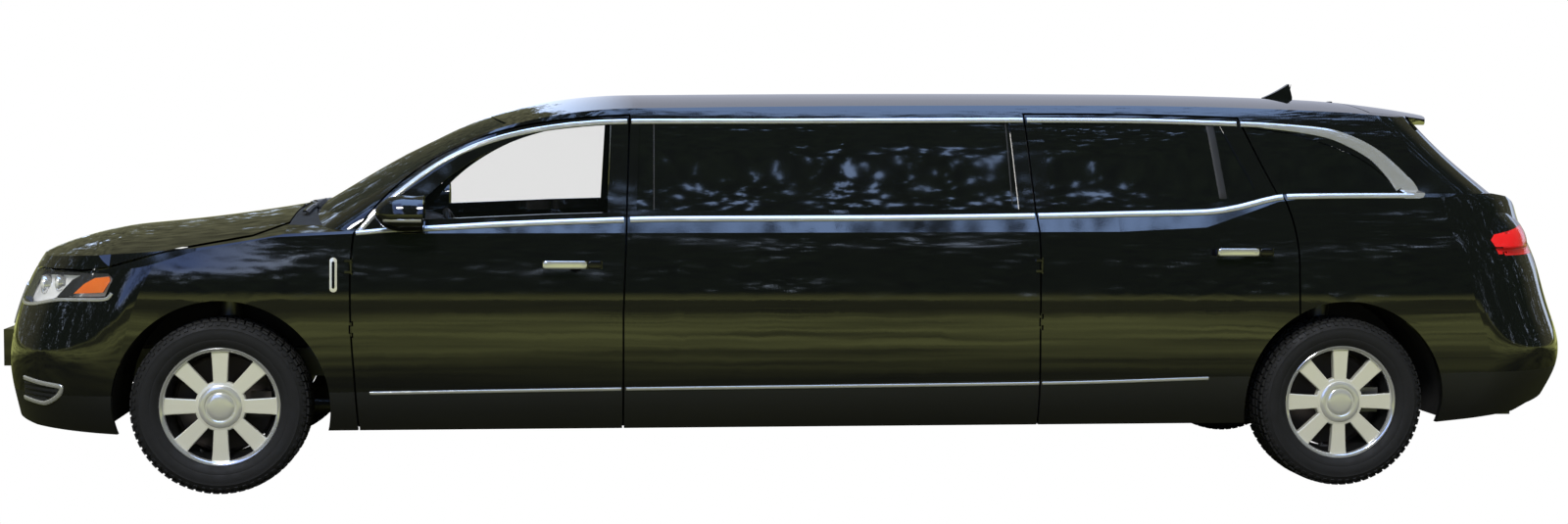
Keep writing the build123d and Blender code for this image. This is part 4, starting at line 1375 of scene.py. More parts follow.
def lay_patch(
    name: str, outline: Outline, ray: Ray, skin: Skin, finish: Finish, body: str, lift: float = 1.0,
    wall: float = 2.0, step: float = 0.02, dome: float = 0.0,
) -> Piece:
    """Makes a thin shell that follows the skin inside an outline.

    Args:
        name: the piece's name.
        outline: corners in the ray's own two coordinates.
        ray: turns those coordinates into rays.
        skin: the skin that the shell follows.
        finish: what it is finished in.
        body: the CAD body that carries it.
        lift: how far its face stands above the skin, in millimetres.
        wall: its thickness in millimetres.
        step: the size of its cells, in the outline's units.
        dome: how much further its middle stands out than its edge, in millimetres.

    Returns:
        The new piece.
    """
    flat, faces, loop = gridded(outline, step)
    rim = [flat[i] for i in loop]
    outer, inner = [], []
    deepest = max(min((p - q).length for q in rim) for p in flat) or 1.0
    for p in flat:
        start, way = ray(p.x, p.y)
        found = skin.hit(start, way)
        place, normal = found if found else (start + way, -way)
        share = min((p - q).length for q in rim) / deepest
        rise = lift + dome * math.sqrt(max(0.0, 1 - (1 - share) ** 2))
        outer.append(place + normal * (rise * MM))
        inner.append(place + normal * ((rise - wall) * MM))
    count = len(flat)
    cells = [tuple(f) for f in faces] + [tuple(count + i for i in reversed(f)) for f in faces]
    for a, b in zip(loop, loop[1:] + loop[:1]):
        cells.append((a, b, count + b, count + a))
    return mesh_piece(name, outer + inner, cells, finish, body, 40)


def ball(centre: Vector, radius: float, axis: Vector, depth: float = 1.0, steps: int = 32) -> Shell:
    """A dome with a flat back, facing along an axis.

    Args:
        centre: the middle of its back.
        radius: its radius in metres.
        axis: the way it faces.
        depth: its height over its radius.
        steps: how many faces go round.

    Returns:
        The points and the faces.
    """
    profile = [
        (radius * math.cos(a * math.pi / 16), depth * radius * math.sin(a * math.pi / 16)) for a in range(8)
    ]
    profile = [(0.0, -0.1 * radius), (radius, -0.1 * radius), *profile, (0.0, depth * radius)]
    points, faces = lathe(profile, steps, 1.0)
    return turned(points, centre, axis), faces


@dataclass
class HeadLamps:
    """Head lamps: a bright bowl, two projectors and an amber corner behind a clear lens.

    A point of an outline is a turn away from straight ahead, in radians, and a height.
    """

    skin: Skin
    middle_x: float = FRONT_AXLE + 0.12
    projectors: tuple = ((0.8, 0.853, 38.0), (0.93, 0.866, 31.0))
    sunk: float = 36.0
    ring: tuple = (
        (0.74, 0.0), (0.8, 0.25), (0.96, 0.34), (1.06, 0.1), (1.08, -0.5), (0.74, -0.5), (0.74, 0.0)
    )
    strip: tuple = (
        (0.62, 0.776), (0.74, 0.772), (0.848, 0.778), (1.0, 0.802), (1.12, 0.808), (1.235, 0.813),
        (1.262, 0.838),
    )
    outline: tuple = (
        (0.66, 0.895), (0.76, 0.907), (0.9, 0.912), (1.06, 0.913), (1.23, 0.911), (1.255, 0.892),
        (1.225, 0.829), (1.1, 0.823), (1.0, 0.818), (0.92, 0.806), (0.84, 0.794), (0.74, 0.79), (0.66, 0.8),
    )
    amber: tuple = (
        (1.085, 0.832), (1.13, 0.872), (1.18, 0.898), (1.245, 0.905), (1.25, 0.888), (1.222, 0.84)
    )
    divide: tuple = (
        (0.985, 0.816), (1.07, 0.823), (1.125, 0.878), (1.175, 0.903), (1.24, 0.909), (1.11, 0.912),
        (1.06, 0.89),
    )

    def build(self) -> None:
        """Makes both lamps."""
        for side in Side:
            ray = corner_ray(side, self.middle_x)
            word = side.word
            lay_patch(
                f"head_lamp_bowl_{word}", self.outline, ray, self.skin, REFLECTOR, BODY, -33.0, 2.0, 0.02,
                -8.0,
            )
            lay_patch(
                f"side_marker_{word}", self.amber, ray, self.skin, LAMP_AMBER, BODY, -3.0, 6.0, 0.02, 2.0
            )
            for number, (turn, z, radius) in enumerate(self.projectors):
                self.projector(f"projector_{number}_{word}", turn, z, radius, ray)
            self.eyebrow(side, ray)

    def projector(self, name: str, turn: float, z: float, radius: float, ray: Ray) -> None:
        """One round projector in its ring.

        Args:
            name: the start of the pieces' names.
            turn: its turn away from straight ahead.
            z: its height.
            radius: its radius.
            ray: turns the turn and height into a ray.
        """
        start, way = ray(turn, z)
        place, _ = self.skin.hit(start, way)
        ahead = Vector((0.9, -way.y * 0.55, 0)).normalized()
        seat = place - ahead * (self.sunk * MM)
        points, faces = ball(seat, radius * 0.72 * MM, ahead, 0.7)
        mesh_piece(name + "_lens", points, faces, BULB)
        ring = [(r * radius, h * radius) for r, h in self.ring]
        turn_piece(name + "_ring", ring, seat, ahead, CHROME, sharp=30)

    def eyebrow(self, side: Side, ray: Ray) -> None:
        """The black bezel along the foot of the lamp, and the bright strip under it.

        Args:
            side: the side of the car.
            ray: turns a turn and a height into a ray.
        """
        laid = [self.skin.hit(*ray(p[0], p[1])) for p in smooth_path(self.strip, 50)]
        laid = [found for found in laid if found]
        lay_strip(f"head_lamp_strip_{side.word}", laid, [15.0] * len(laid), 3.5, CHROME)
        lay_patch(
            f"head_lamp_bezel_{side.word}", self.divide, ray, self.skin, GLOSS_BLACK, BODY, -9.0, 8.0, 0.02
        )


@dataclass
class TailLamps:
    """Tail lamps: lit strips and a clear reversing lamp behind the red lens."""

    skin: Skin
    outline: tuple = ((-662, 1074), (-680, 1098), (-800, 1122), (-905, 1122), (-925, 1016), (-700, 1012))
    clear_window: tuple = ((-800, 1030), (-796, 1052), (-900, 1058), (-908, 1024))

    def build(self) -> None:
        """Makes the inner pieces of both lamps."""
        for side in Side:
            ray = side_ray(side)
            points = [rear(*p) for p in self.outline]
            lay_patch(
                f"tail_lamp_glow_{side.word}", points, ray, self.skin, LAMP_RED, BODY, 1.2, 4.0, 0.012, 3.0
            )
            window = [rear(*p) for p in self.clear_window]
            lay_patch(
                f"reversing_lamp_{side.word}", window, ray, self.skin, LAMP_CLEAR, BODY, 4.2, 2.5, 0.012, 1.0
            )


@dataclass
class FogLamps:
    """Fog lamp pockets low on the bumper: dark slats in a bright frame."""

    skin: Skin
    pocket: tuple = (
        (821, 470), (740, 458), (652, 449), (640, 440), (650, 416), (673, 396), (705, 378), (740, 371),
        (828, 383),
    )
    slats: tuple = (0.25, 0.5, 0.75)
    foot: float = 378.0
    head: float = 462.0

    def build(self) -> None:
        """Makes both pockets with their slats and frames."""
        for side in Side:
            ray = side_ray(side)
            outline = [front(*p) for p in self.pocket]
            lay_patch(f"fog_pocket_{side.word}", outline, ray, self.skin, PLASTIC, BODY, 0.8, 3.0, 0.02)
            edge = smooth_path([front(*p) for p in self.pocket], 90)
            laid = self.skin.trace(edge, side, 30.0)
            lay_strip(f"fog_frame_{side.word}", laid, [20.0] * len(laid), 6.0, CHROME)
            for number, share in enumerate(self.slats):
                start, end = front(668 + 14 * abs(share - 0.5), 0)[0], front(818, 0)[0]
                height = self.foot + (self.head - self.foot) * share
                steps = [i / 20 for i in range(21)]
                line = [Vector((start + (end - start) * t, (height + 6 * t) * MM)) for t in steps]
                laid = self.skin.trace(line, side, 30.0)
                lay_strip(f"fog_slat_{number}_{side.word}", laid, [9.0] * 21, 3.4, GLOSS_BLACK)


# ---------------------------------------------------------------- small outer fittings


@dataclass
class Fittings:
    """Mirror glasses, wipers, aerial whip, wing bars, licence plates and the stop lamp."""

    skin: Skin
    mirror_glass: tuple = ((0.99, 8.5), (1.0, 7.0), (0.98, 4.0), (0.9, 2.6), (0.5, 1.8))
    mirror_height: float = 1.171
    mirror_strip: tuple = ((-664, 1041), (-690, 1066), (-745, 1081), (-790, 1083), (-832, 1084))
    strip_height: float = 1.145
    wipers: tuple = (
        ("wiper_left", (FRONT_AXLE - 0.30, 0.58, 1.165), (FRONT_AXLE - 0.315, -0.02, 1.178)),
        ("wiper_right", (FRONT_AXLE - 0.27, -0.05, 1.17), (FRONT_AXLE - 0.315, -0.62, 1.172)),
    )
    bar_place: tuple = (FRONT_AXLE - 0.466, 0.915)
    plate_size: tuple = (0.3048, 0.1524)
    plate_levels: tuple = ((1.0, -2.0), (1.0, 0.6), (0.985, 1.4), (0.955, 1.4), (0.945, 0.7), (0.5, 0.7))
    plate_holes: tuple = ((-0.0889, 0.0603), (0.0889, 0.0603), (-0.0889, -0.0603), (0.0889, -0.0603))
    plate_limit: float = 3.5455
    tail_bar_height: float = 1.048
    stop_lamp_height: float = 1.606

    def build(self) -> None:
        """Makes every fitting."""
        for side in Side:
            self.mirror(side)
            self.side_plate(side)
        for name, pivot, tip in self.wipers:
            self.wiper(name, Vector(pivot), Vector(tip))
        self.whip()
        self.plate("front_plate", 1, 0.533)
        self.plate("rear_plate", -1, 0.937)
        self.tail_badge()
        self.stop_lamp()

    def mirror(self, side: Side) -> None:
        """The mirror's glass and the bright strip along its housing.

        Args:
            side: the side of the car.
        """
        body = f"door_front_{side.word}"
        low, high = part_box(f"mirror_{side.word}")
        middle_y, height = side.value * (max(abs(low.y), abs(high.y)) - 0.088), self.mirror_height
        turns = [a * math.pi / 24 for a in range(48)]
        rows = []
        for grow, x in self.mirror_glass:
            wide, tall = 0.079 * grow, 0.067 * grow
            rows.append([
                Vector((low.x + x * MM, middle_y + wide * math.cos(t), height + tall * math.sin(t)))
                for t in turns
            ])
        sweep(f"mirror_glass_{side.word}", rows, MIRROR, body, 30)
        out = Vector((0.15, side.value * 0.93, -0.33)).normalized()
        strip = [
            (Vector((FRONT_AXLE + p[0] * MM, side.value * p[1] * MM, self.strip_height)), out.copy())
            for p in smooth_path(self.mirror_strip, 25)
        ]
        lay_strip(f"mirror_strip_{side.word}", strip, [13.0] * 25, 2.4, CHROME, body, 3.0)

    def side_plate(self, side: Side) -> None:
        """A plain bright bar on the front wing, with a dark slot.

        Args:
            side: the side of the car.
        """
        x, z = self.bar_place
        for name, size, finish, lift, wall, dome in (
            ("wing_bar", (0.03, 0.142, 0.014, 5), RIM_METAL_WARM_REFLECTION, 2.4, 3.2, 2.0),
            ("wing_bar_inset", (0.012, 0.112, 0.006, 4), GLOSS_BLACK, 4.8, 1.2, 0.0),
        ):
            outline = [(x + u, z + v) for u, v in rounded_rectangle(*size)]
            label = f"{name}_{side.word}"
            lay_patch(label, outline, side_ray(side), self.skin, finish, BODY, lift, wall, 0.012, dome)

    def wiper(self, name: str, pivot: Vector, tip: Vector) -> None:
        """A wiper's arm and blade, laid along the foot of the windscreen.

        Args:
            name: the start of the pieces' names.
            pivot: one end of the blade.
            tip: its other end.
        """
        blade = []
        for i in range(25):
            p = pivot.lerp(tip, i / 24)
            found = self.skin.hit(Vector((p.x - 0.02, p.y, 1.9)), Vector((0, 0, -1)))
            blade.append(found or (p, Vector((0, 0, 1))))
        lay_strip(name + "_rubber", blade, [7.0] * 25, 12.0, SEAL)
        lay_strip(name + "_blade", [(p + n * 0.011, n) for p, n in blade], [14.0] * 25, 5.0, PLASTIC)
        arm = [
            (p + n * 0.016 + Vector((0.012 * (1 - i / 14), 0, 0)), n) for i, (p, n) in enumerate(blade[:15])
        ]
        lay_strip(name + "_arm", arm, [20 - 0.5 * i for i in range(15)], 6.0, GLOSS_BLACK)

    def whip(self) -> None:
        """The short aerial on top of the fin."""
        low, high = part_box("antenna")
        foot = Vector((low.x + 0.012, 0, high.z - 0.03))
        turns = [a * math.pi / 6 for a in range(12)]
        rows = []
        for i in range(9):
            share = i / 8
            centre = foot + Vector((-0.004 - 0.006 * share, 0, 0.028 * share))
            radius = (2.6 - 1.4 * share) * MM
            rows.append([centre + Vector((radius * math.cos(t), radius * math.sin(t), 0)) for t in turns])
        sweep("aerial_whip", rows, GLOSS_BLACK)

    def plate(self, name: str, facing: int, height: float) -> None:
        """A blank licence plate with a raised edge and its four screws.

        Args:
            name: the start of the pieces' names.
            facing: 1 for the nose and -1 for the tail.
            height: the plate's middle, in metres.
        """
        body = BODY if facing > 0 else "tailgate"
        places = [(y, z) for y in (-0.12, 0.0, 0.12) for z in (height - 0.06, height + 0.06)]
        hits = [self.skin.hit(*end_ray(facing)(y, z)) for y, z in places]
        reach = max(abs(found[0].x) for found in hits if found)
        limit = self.plate_limit if facing > 0 else OUTSIDE_X
        face = Vector((facing * min(reach + 0.0015, limit), 0, height))
        wide, tall = self.plate_size
        rows = []
        for grow, rise in self.plate_levels:
            upright, corner = (grow, grow) if grow > 0.9 else (0.3, 0.5)
            ring = rounded_rectangle(wide * grow, tall * upright, 0.012 * corner, 4)
            rows.append([face + Vector((facing * rise * MM, u, v)) for u, v in ring])
        sweep(f"{name}_blank", rows, WHITE_PLATE, body, 30)
        for number, (y, z) in enumerate(self.plate_holes):
            seat = face + Vector((facing * 0.0008, y, z))
            points, faces = ball(seat, 0.0062, Vector((facing, 0, 0)), 0.4, 16)
            mesh_piece(f"{name}_screw_{number}", points, faces, STEEL, body)

    def tail_badge(self) -> None:
        """The bright bar over the rear plate, with a dark slot."""
        for name, width, tall, finish, lift in (
            ("tail_bar", 0.62, 0.034, CHROME, 5.0), ("tail_bar_inset", 0.56, 0.010, GLOSS_BLACK, 6.0),
        ):
            ring = rounded_rectangle(width, tall, tall * 0.42, 4)
            outline = [(u, self.tail_bar_height + v) for u, v in ring]
            lay_patch(name, outline, end_ray(-1), self.skin, finish, "tailgate", lift, 4.0, 0.03, 1.5)

    def stop_lamp(self) -> None:
        """The high stop lamp under the lip of the roof spoiler."""
        outline = [(u, self.stop_lamp_height + v) for u, v in rounded_rectangle(0.34, 0.014, 0.006, 3)]
        lay_patch(
            "high_stop_lamp", outline, end_ray(-1), self.skin, LAMP_RED, "tailgate", 0.8, 2.0, 0.02, 0.5
        )


@dataclass
class NoseGrille:
    """A fine row of upright bars over the grille."""

    skin: Skin
    half: float = 0.46
    low: float = 0.665
    top: float = 0.835
    bars: int = 44

    def build(self) -> None:
        """Makes the bars."""
        for number in range(self.bars + 1):
            share = 2 * number / self.bars - 1
            line = []
            for i in range(13):
                z = self.low + (self.top - self.low) * i / 12
                y = share * (self.half - 0.06 * (1 - i / 12))
                found = self.skin.hit(*end_ray(1)(y, z))
                if found:
                    line.append(found)
            if len(line) > 4:
                lay_strip(f"grille_bar_{number}", line, [5.0] * len(line), 5.0, CHROME)


# ---------------------------------------------------------------- seals, linings and door furniture


def even(corners: Outline, step: float = 24.0) -> list[tuple[float, float]]:
    """Cuts a run of straight lines into short lengths.

    Args:
        corners: the run's corners, in millimetres.
        step: the greatest length, in millimetres.

    Returns:
        The points, in order.
    """
    out = []
    for (ax, az), (bx, bz) in zip(corners, corners[1:]):
        count = max(1, round(math.hypot(bx - ax, bz - az) / step))
        out.extend((ax + (bx - ax) * i / count, az + (bz - az) * i / count) for i in range(count))
    return [*out, corners[-1]]


@dataclass
class Seals:
    """Rubber seals behind the shut lines of the doors, and the bars of the side windows."""

    inner: Skin
    glass: Skin
    front_door: tuple = (
        (-548, 274), (-548, 513), (-536, 690), (-533, 837), (-536, 970), (-548, 1086), (-690, 1258),
        (-876, 1399), (-1075, 1489), (-1300, 1546), (-1490, 1571), (-1687, 1584), (-1671, 1165),
        (-1657, 756), (-1659, 272),
    )
    rear_door: tuple = (
        (-3436, 272), (-3429, 672), (-3428, 1007), (-3420, 1182), (-3401, 1604), (-3962, 1606),
        (-4360, 1597), (-4430, 1418), (-4498, 1263), (-4547, 1110), (-4564, 924), (-4568, 762),
    )
    pillar_foot: tuple = ((-430, 1048), (-500, 1097), (-560, 1143), (-640, 1208), (-700, 1250))
    clearance: float = 6.0
    probes_x: tuple = (-0.022, -0.012, 0.012, 0.022)
    probes_z: tuple = (-0.022, 0.0, 0.022)
    least_depth: float = 0.55
    usual_depth: float = 0.88

    def build(self) -> None:
        """Makes every seal and bar."""
        for side in Side:
            self.seal(f"front_door_seal_{side.word}", self.front_door, side)
            self.seal(f"rear_door_seal_{side.word}", self.rear_door, side)
            self.seal(f"pillar_foot_trim_{side.word}", self.pillar_foot, side, 74.0)
            for name, body, top, foot, wide, rise, finish in (
                ("stretch_seam_front", BODY, (-1790, 1543), (-1786, 1186), 5.0, 0.8, SEAL),
                ("stretch_seam_rear", BODY, (-3318, 1560), (-3322, 1196), 5.0, 0.8, SEAL),
                ("rear_door_bar", "door_rear_{}", (-4230, 1560), (-4256, 1226), 34.0, 2.0, SEAL),
            ):
                line = [Vector(front(*p)) for p in even((top, foot))]
                laid = self.glass.trace(line, side)
                lay_strip(
                    f"{name}_{side.word}", laid, [wide] * len(laid), rise, finish, body.format(side.word)
                )

    def seal(self, name: str, corners: Outline, side: Side, width: float = 42.0) -> None:
        """One seal, laid a little way inside the inner faces on both sides of a shut line.

        Args:
            name: the piece's name.
            corners: the shut line in side view.
            side: the side of the car.
            width: the seal's width, in millimetres.
        """
        way = Vector((0, side.value, 0))
        flat = [front(*p) for p in even(corners)]
        depths = []
        for x, z in flat:
            near = []
            for dx in self.probes_x:
                for dz in self.probes_z:
                    found = self.inner.hit(Vector((x + dx, side.value * INSIDE_Y, z + dz)), way)
                    if found and abs(found[0].y) > self.least_depth:
                        near.append(abs(found[0].y))
            depths.append(min(near, default=0.0))
        laid = []
        for i, (x, z) in enumerate(flat):
            near = [d for d in depths[max(0, i - 2): i + 3] if d]
            depth = min(near, default=self.usual_depth)
            laid.append((Vector((x, side.value * (depth - self.clearance * MM), z)), -way))
        lay_strip(name, laid, [width] * len(laid), 5.0, SEAL, BODY, 0.0)


@dataclass
class Linings:
    """The headlining, the carpet and the furniture of the doors' inner faces."""

    inner: Skin
    carpets: tuple = (
        ("front_carpet", (FRONT_AXLE - 1.13, -0.74, 0.3315), (FRONT_AXLE - 0.53, 0.74, 0.337)),
        ("lounge_carpet", (REAR_AXLE + 0.6, -0.44, 0.3315), (FRONT_AXLE - 1.9, 0.36, 0.337)),
    )
    speaker: Outline = ((0, 4), (52, 4.5), (66, 5.5), (74, 7), (80, 4), (80, -3))
    pull_ring: Outline = ((28, 2), (30, 7), (36, 8), (39, 3), (39, -3), (28, -3), (28, 2))
    pull_cup: Outline = ((0, 1.2), (20, 1.4), (29, 2.4), (29, -2))
    switch_plate: Outline = ((0, 3), (30, 3), (34, 1.5), (34, -2))
    oval: float = 1.9

    def build(self) -> None:
        """Makes the linings and dresses every door."""
        low, top = REAR_AXLE - 0.05, FRONT_AXLE - 1.18
        outline = [(low, -0.5), (top, -0.5), (top, 0.5), (low, 0.5)]
        lay_patch("headlining", outline, self.upward, self.inner, GREY_CLOTH, BODY, 5.0, 4.0, 0.09)
        for name, low, high in self.carpets:
            slab(name, low, high, 2, CARPET)
        for side in Side:
            for body, x in ((f"door_front_{side.word}", -1010.0), (f"door_rear_{side.word}", -3800.0)):
                self.furniture(body, x, side)

    def upward(self, x: float, y: float) -> Place:
        """A ray straight up from inside the cabin."""
        return Vector((x, y, 1.3)), Vector((0, 0, 1))

    def furniture(self, body: str, x: float, side: Side) -> None:
        """The speaker ring, the inner handle and the switches of a door.

        Args:
            body: the door.
            x: where the inner handle lies, ahead of the front axle.
            side: the side of the car.
        """
        way = Vector((0, side.value, 0))
        turn = Matrix((Vector((0, 0, 1)), Vector((1, 0, 0)), -way)).transposed()
        for name, dx, z, profile, finish in (
            ("speaker", -60.0, 520.0, self.speaker, PLASTIC),
            ("pull_ring", 0.0, 930.0, self.pull_ring, CHROME),
            ("pull_cup", 0.0, 930.0, self.pull_cup, GLOSS_BLACK),
            ("switch_plate", -180.0, 930.0, self.switch_plate, GLOSS_BLACK),
        ):
            place_x, place_z = front(x + dx, z)
            found = self.inner.hit(Vector((place_x, side.value * INSIDE_Y, place_z)), way)
            if not found:
                continue
            points, faces = lathe(profile, 40)
            if profile[0] != profile[-1]:
                faces.append(tuple(range(len(points) - 40, len(points))))
            if name != "speaker":
                points = [Vector((p.x, p.y * self.oval, p.z)) for p in points]
            mesh_piece(f"{name}_{body}", [found[0] + turn @ p for p in points], faces, finish, body)


# ---------------------------------------------------------------- cabin


def tube(
    name: str, path: Sequence[Sequence[float]], radius: float, finish: Finish, closed: bool = False
) -> Piece:
    """Makes a round bar along a path.

    Args:
        name: the piece's name.
        path: points along its middle, in metres.
        radius: its radius in millimetres.
        finish: what it is finished in.
        closed: whether the path joins itself.

    Returns:
        The new piece.
    """
    points, faces = tube_shell([Vector(place) for place in path], radius, closed, 12)
    return mesh_piece(name, points, faces, finish, sharp=50)


def tube_shell(path: Sequence[Vector], radius: float, closed: bool, around: int) -> Shell:
    """The points and faces of a round bar along a path.

    Args:
        path: points along its middle, in metres.
        radius: its radius in millimetres.
        closed: whether the path joins itself.
        around: how many faces go round.

    Returns:
        The points and the faces.
    """
    count = len(path)
    points: list[Vector] = []
    normal = Vector((0.13, 0.29, 0.95))
    for i, place in enumerate(path):
        before = path[i - 1] if (i or closed) else place
        after = path[(i + 1) % count] if (i < count - 1 or closed) else place
        ahead = (after - before).normalized()
        normal = (normal - ahead * normal.dot(ahead)).normalized()
        across = ahead.cross(normal)
        for a in range(around):
            turn = 2 * math.pi * a / around
            points.append(place + (normal * math.cos(turn) + across * math.sin(turn)) * (radius * MM))
    faces = ring_faces(count, around, closed)
    if not closed:
        faces.append(tuple(reversed(range(around))))
        faces.append(tuple(range(len(points) - around, len(points))))
    return points, faces


def slab(
    name: str, low: Sequence[float], high: Sequence[float], radius: float, finish: Finish, lean: float = 0.0
) -> Piece:
    """Makes a box with rounded edges between two corners.

    Args:
        name: the piece's name.
        low: its lowest corner in metres.
        high: its highest corner in metres.
        radius: the radius of its edges in millimetres.
        finish: what it is finished in.
        lean: turn about its own Y axis, in degrees.

    Returns:
        The new piece.
    """
    low, high = Vector(low), Vector(high)
    work = bmesh.new()
    bmesh.ops.create_cube(work, size=1.0)
    size, centre = high - low, (low + high) / 2
    turn = Matrix.Rotation(math.radians(lean), 3, "Y")
    for vert in work.verts:
        vert.co = Vector((vert.co.x * size.x, vert.co.y * size.y, vert.co.z * size.z))
    bmesh.ops.bevel(
        work, geom=work.edges[:], offset=radius * MM, segments=4, profile=0.6, affect="EDGES",
        clamp_overlap=True,
    )
    for vert in work.verts:
        vert.co = centre + turn @ vert.co
    mesh = bpy.data.meshes.new(name)
    work.to_mesh(mesh)
    work.free()
    return settle(name, mesh, finish, BODY, 40)


@dataclass(frozen=True)
class Pad:
    """A stuffed pad lying flat: X along it, Y across it and its face up, in millimetres."""

    length: float
    width: float
    depth: float
    crown: float = 14.0
    pull: float = 8.0
    channels: tuple[float, ...] = ()
    bolsters: float = 0.0
    buttons: tuple[int, int] = (0, 0)
    cells: int = 26
    cap: float = 9.0
    levels: tuple = ((0.0, 0.94), (0.12, 0.985), (0.5, 1.0), (0.86, 0.985), (1.0, 0.93))
    welt: float = 3.2
    channel_depth: float = 7.0
    seam_width: float = 7.0
    bolster_edge: float = 0.66
    bolster_seam: float = 8.0
    button_depth: float = 11.0
    button_width: float = 26.0

    def rough(self) -> tuple[Mesh, list[int]]:
        """The closed form before it is stuffed.

        Returns:
            The mesh, and its points around the top edge in order.
        """
        n, levels = self.cells, self.levels
        ring = [(i, 0) for i in range(n)] + [(n, i) for i in range(n)]
        ring += [(n - i, n) for i in range(n)] + [(0, n - i) for i in range(n)]
        points: list[tuple[float, float, float]] = []
        for rise, grow in levels:
            for i, j in ring:
                points.append((*self.spread(2 * i / n - 1, 2 * j / n - 1, grow, rise), rise * self.depth))
        faces = ring_faces(len(levels), len(ring))
        for top, start in ((True, (len(levels) - 1) * len(ring)), (False, 0)):
            index = {place: start + k for k, place in enumerate(ring)}
            for i in range(1, n):
                for j in range(1, n):
                    index[(i, j)] = len(points)
                    u, v = 2 * i / n - 1, 2 * j / n - 1
                    rise, grow = levels[-1 if top else 0]
                    dome = self.crown * ((1 - u ** 4) * (1 - v ** 4)) ** 0.6 if top else 0.0
                    points.append((*self.spread(u, v, grow, rise), rise * self.depth + dome))
            for i in range(n):
                for j in range(n):
                    faces.append((index[(i, j)], index[(i + 1, j)], index[(i + 1, j + 1)], index[(i, j + 1)]))
        mesh = bpy.data.meshes.new("stuffing")
        mesh.from_pydata([(x * MM, y * MM, z * MM) for x, y, z in points], [], faces)
        rim = [3 * len(ring) + k for k in range(len(ring))]
        return mesh, rim

    def spread(self, u: float, v: float, grow: float, rise: float) -> tuple[float, float]:
        """Where a point of the square lies: round corners, and sides that pull in between them.

        Args:
            u: from -1 to 1 along the pad.
            v: from -1 to 1 across it.
            grow: the size of this level.
            rise: the level, from 0 to 1.

        Returns:
            The point's X and Y in millimetres.
        """
        half_x, half_y = self.length / 2, self.width / 2
        pull = self.pull * (0.4 + 0.6 * rise)
        x = half_x * grow * u - math.copysign(pull, u) * (1 - v * v) * abs(u) ** 3
        y = half_y * grow * v - math.copysign(pull, v) * (1 - u * u) * abs(v) ** 3
        corner = 0.06 * min(half_x, half_y) * (abs(u) * abs(v)) ** 6
        return x - math.copysign(corner, u), y - math.copysign(corner, v)

    def stuffed(self) -> Mesh:
        """The pad stuffed by a short cloth simulation, then sewn, buttoned and welted.

        Returns:
            The finished mesh, lying flat.
        """
        mesh, rim = self.rough()
        work = bmesh.new()
        work.from_mesh(mesh)
        bmesh.ops.recalc_face_normals(work, faces=work.faces)
        work.to_mesh(mesh)
        work.free()
        self.swell(mesh)
        for vert in mesh.vertices:
            vert.co.z -= self.sewn(vert.co) * MM
        edge = [mesh.vertices[i].co.copy() for i in rim]
        points, faces = tube_shell(edge, self.welt, True, 8)
        work = bmesh.new()
        work.from_mesh(mesh)
        bmesh.ops.subdivide_edges(work, edges=work.edges[:], cuts=1, use_grid_fill=True, smooth=0.6)
        start = [work.verts.new(p) for p in points]
        for face in faces:
            work.faces.new([start[i] for i in face])
        work.to_mesh(mesh)
        work.free()
        return mesh

    def sewn(self, place: Vector) -> float:
        """How deep the seams and buttons draw a point of the face in, in millimetres.

        Args:
            place: the point in metres.

        Returns:
            The depth, less than zero where a bolster stands up.
        """
        u, v = place.x / MM / self.length * 2, place.y / MM / self.width * 2
        if place.z < 0.6 * self.depth * MM:
            return 0.0
        depth = 0.0
        for share in self.channels:
            away = (u - share) * self.length / 2
            depth += self.channel_depth * math.exp(-((away / self.seam_width) ** 2))
        if self.bolsters:
            away = abs(abs(v) - self.bolster_edge) * self.width / 2
            depth += self.bolster_seam * math.exp(-((away / self.seam_width) ** 2))
            outward = min(1.0, max(0.0, (abs(v) - self.bolster_edge) / (1 - self.bolster_edge)))
            depth -= self.bolsters * max(0.0, math.sin(math.pi * outward)) * (1 - u ** 8)
        rows, columns = self.buttons
        for i in range(rows):
            for j in range(columns):
                x = -1 + 2 * (i + 0.5) / rows
                y = -1 + 2 * (j + 0.5) / columns
                away = math.hypot((u - x) * self.length / 2, (v - y) * self.width / 2)
                depth += self.button_depth * math.exp(-((away / self.button_width) ** 2))
        return depth

    def swell(self, mesh: Mesh, frames: int = 16) -> None:
        """Blows the cover up against its own seams, then keeps the moved points.

        Args:
            mesh: the cover, which is changed.
            frames: how many steps the cloth is given.
        """
        scene = bpy.context.scene
        piece = bpy.data.objects.new("stuffing", mesh)
        scene.collection.objects.link(piece)
        held = piece.vertex_groups.new(name="held")
        held.add([v.index for v in mesh.vertices if v.co.z < 0.2 * self.depth * MM], 1.0, "REPLACE")
        cloth = piece.modifiers.new("cloth", "CLOTH")
        cloth.settings.vertex_group_mass = "held"
        cloth.settings.use_pressure = True
        cloth.settings.uniform_pressure_force = 4.0
        cloth.settings.quality = 5
        cloth.settings.effector_weights.gravity = 0.0
        cloth.point_cache.frame_start = 1
        cloth.point_cache.frame_end = frames
        for number in range(1, frames + 1):
            scene.frame_set(number)
        shape = piece.evaluated_get(bpy.context.evaluated_depsgraph_get()).to_mesh()
        for vert, moved in zip(mesh.vertices, shape.vertices):
            step = moved.co - vert.co
            if step.length > 0:
                vert.co = vert.co + step * min(1.0, self.cap * MM / step.length)
        piece.to_mesh_clear()
        bpy.data.objects.remove(piece)
        scene.frame_set(1)


def stand(forward: Triple, up: Triple, place: Triple) -> Matrix:
    """The placing of a pad: where its length and its face point, and where its foot lies.

    Args:
        forward: the way its length runs.
        up: the way its face looks.
        place: where the middle of its back lies.

    Returns:
        The placing.
    """
    forward, up = Vector(forward).normalized(), Vector(up).normalized()
    turn = Matrix((forward, up.cross(forward), up)).transposed().to_4x4()
    return Matrix.Translation(Vector(place)) @ turn


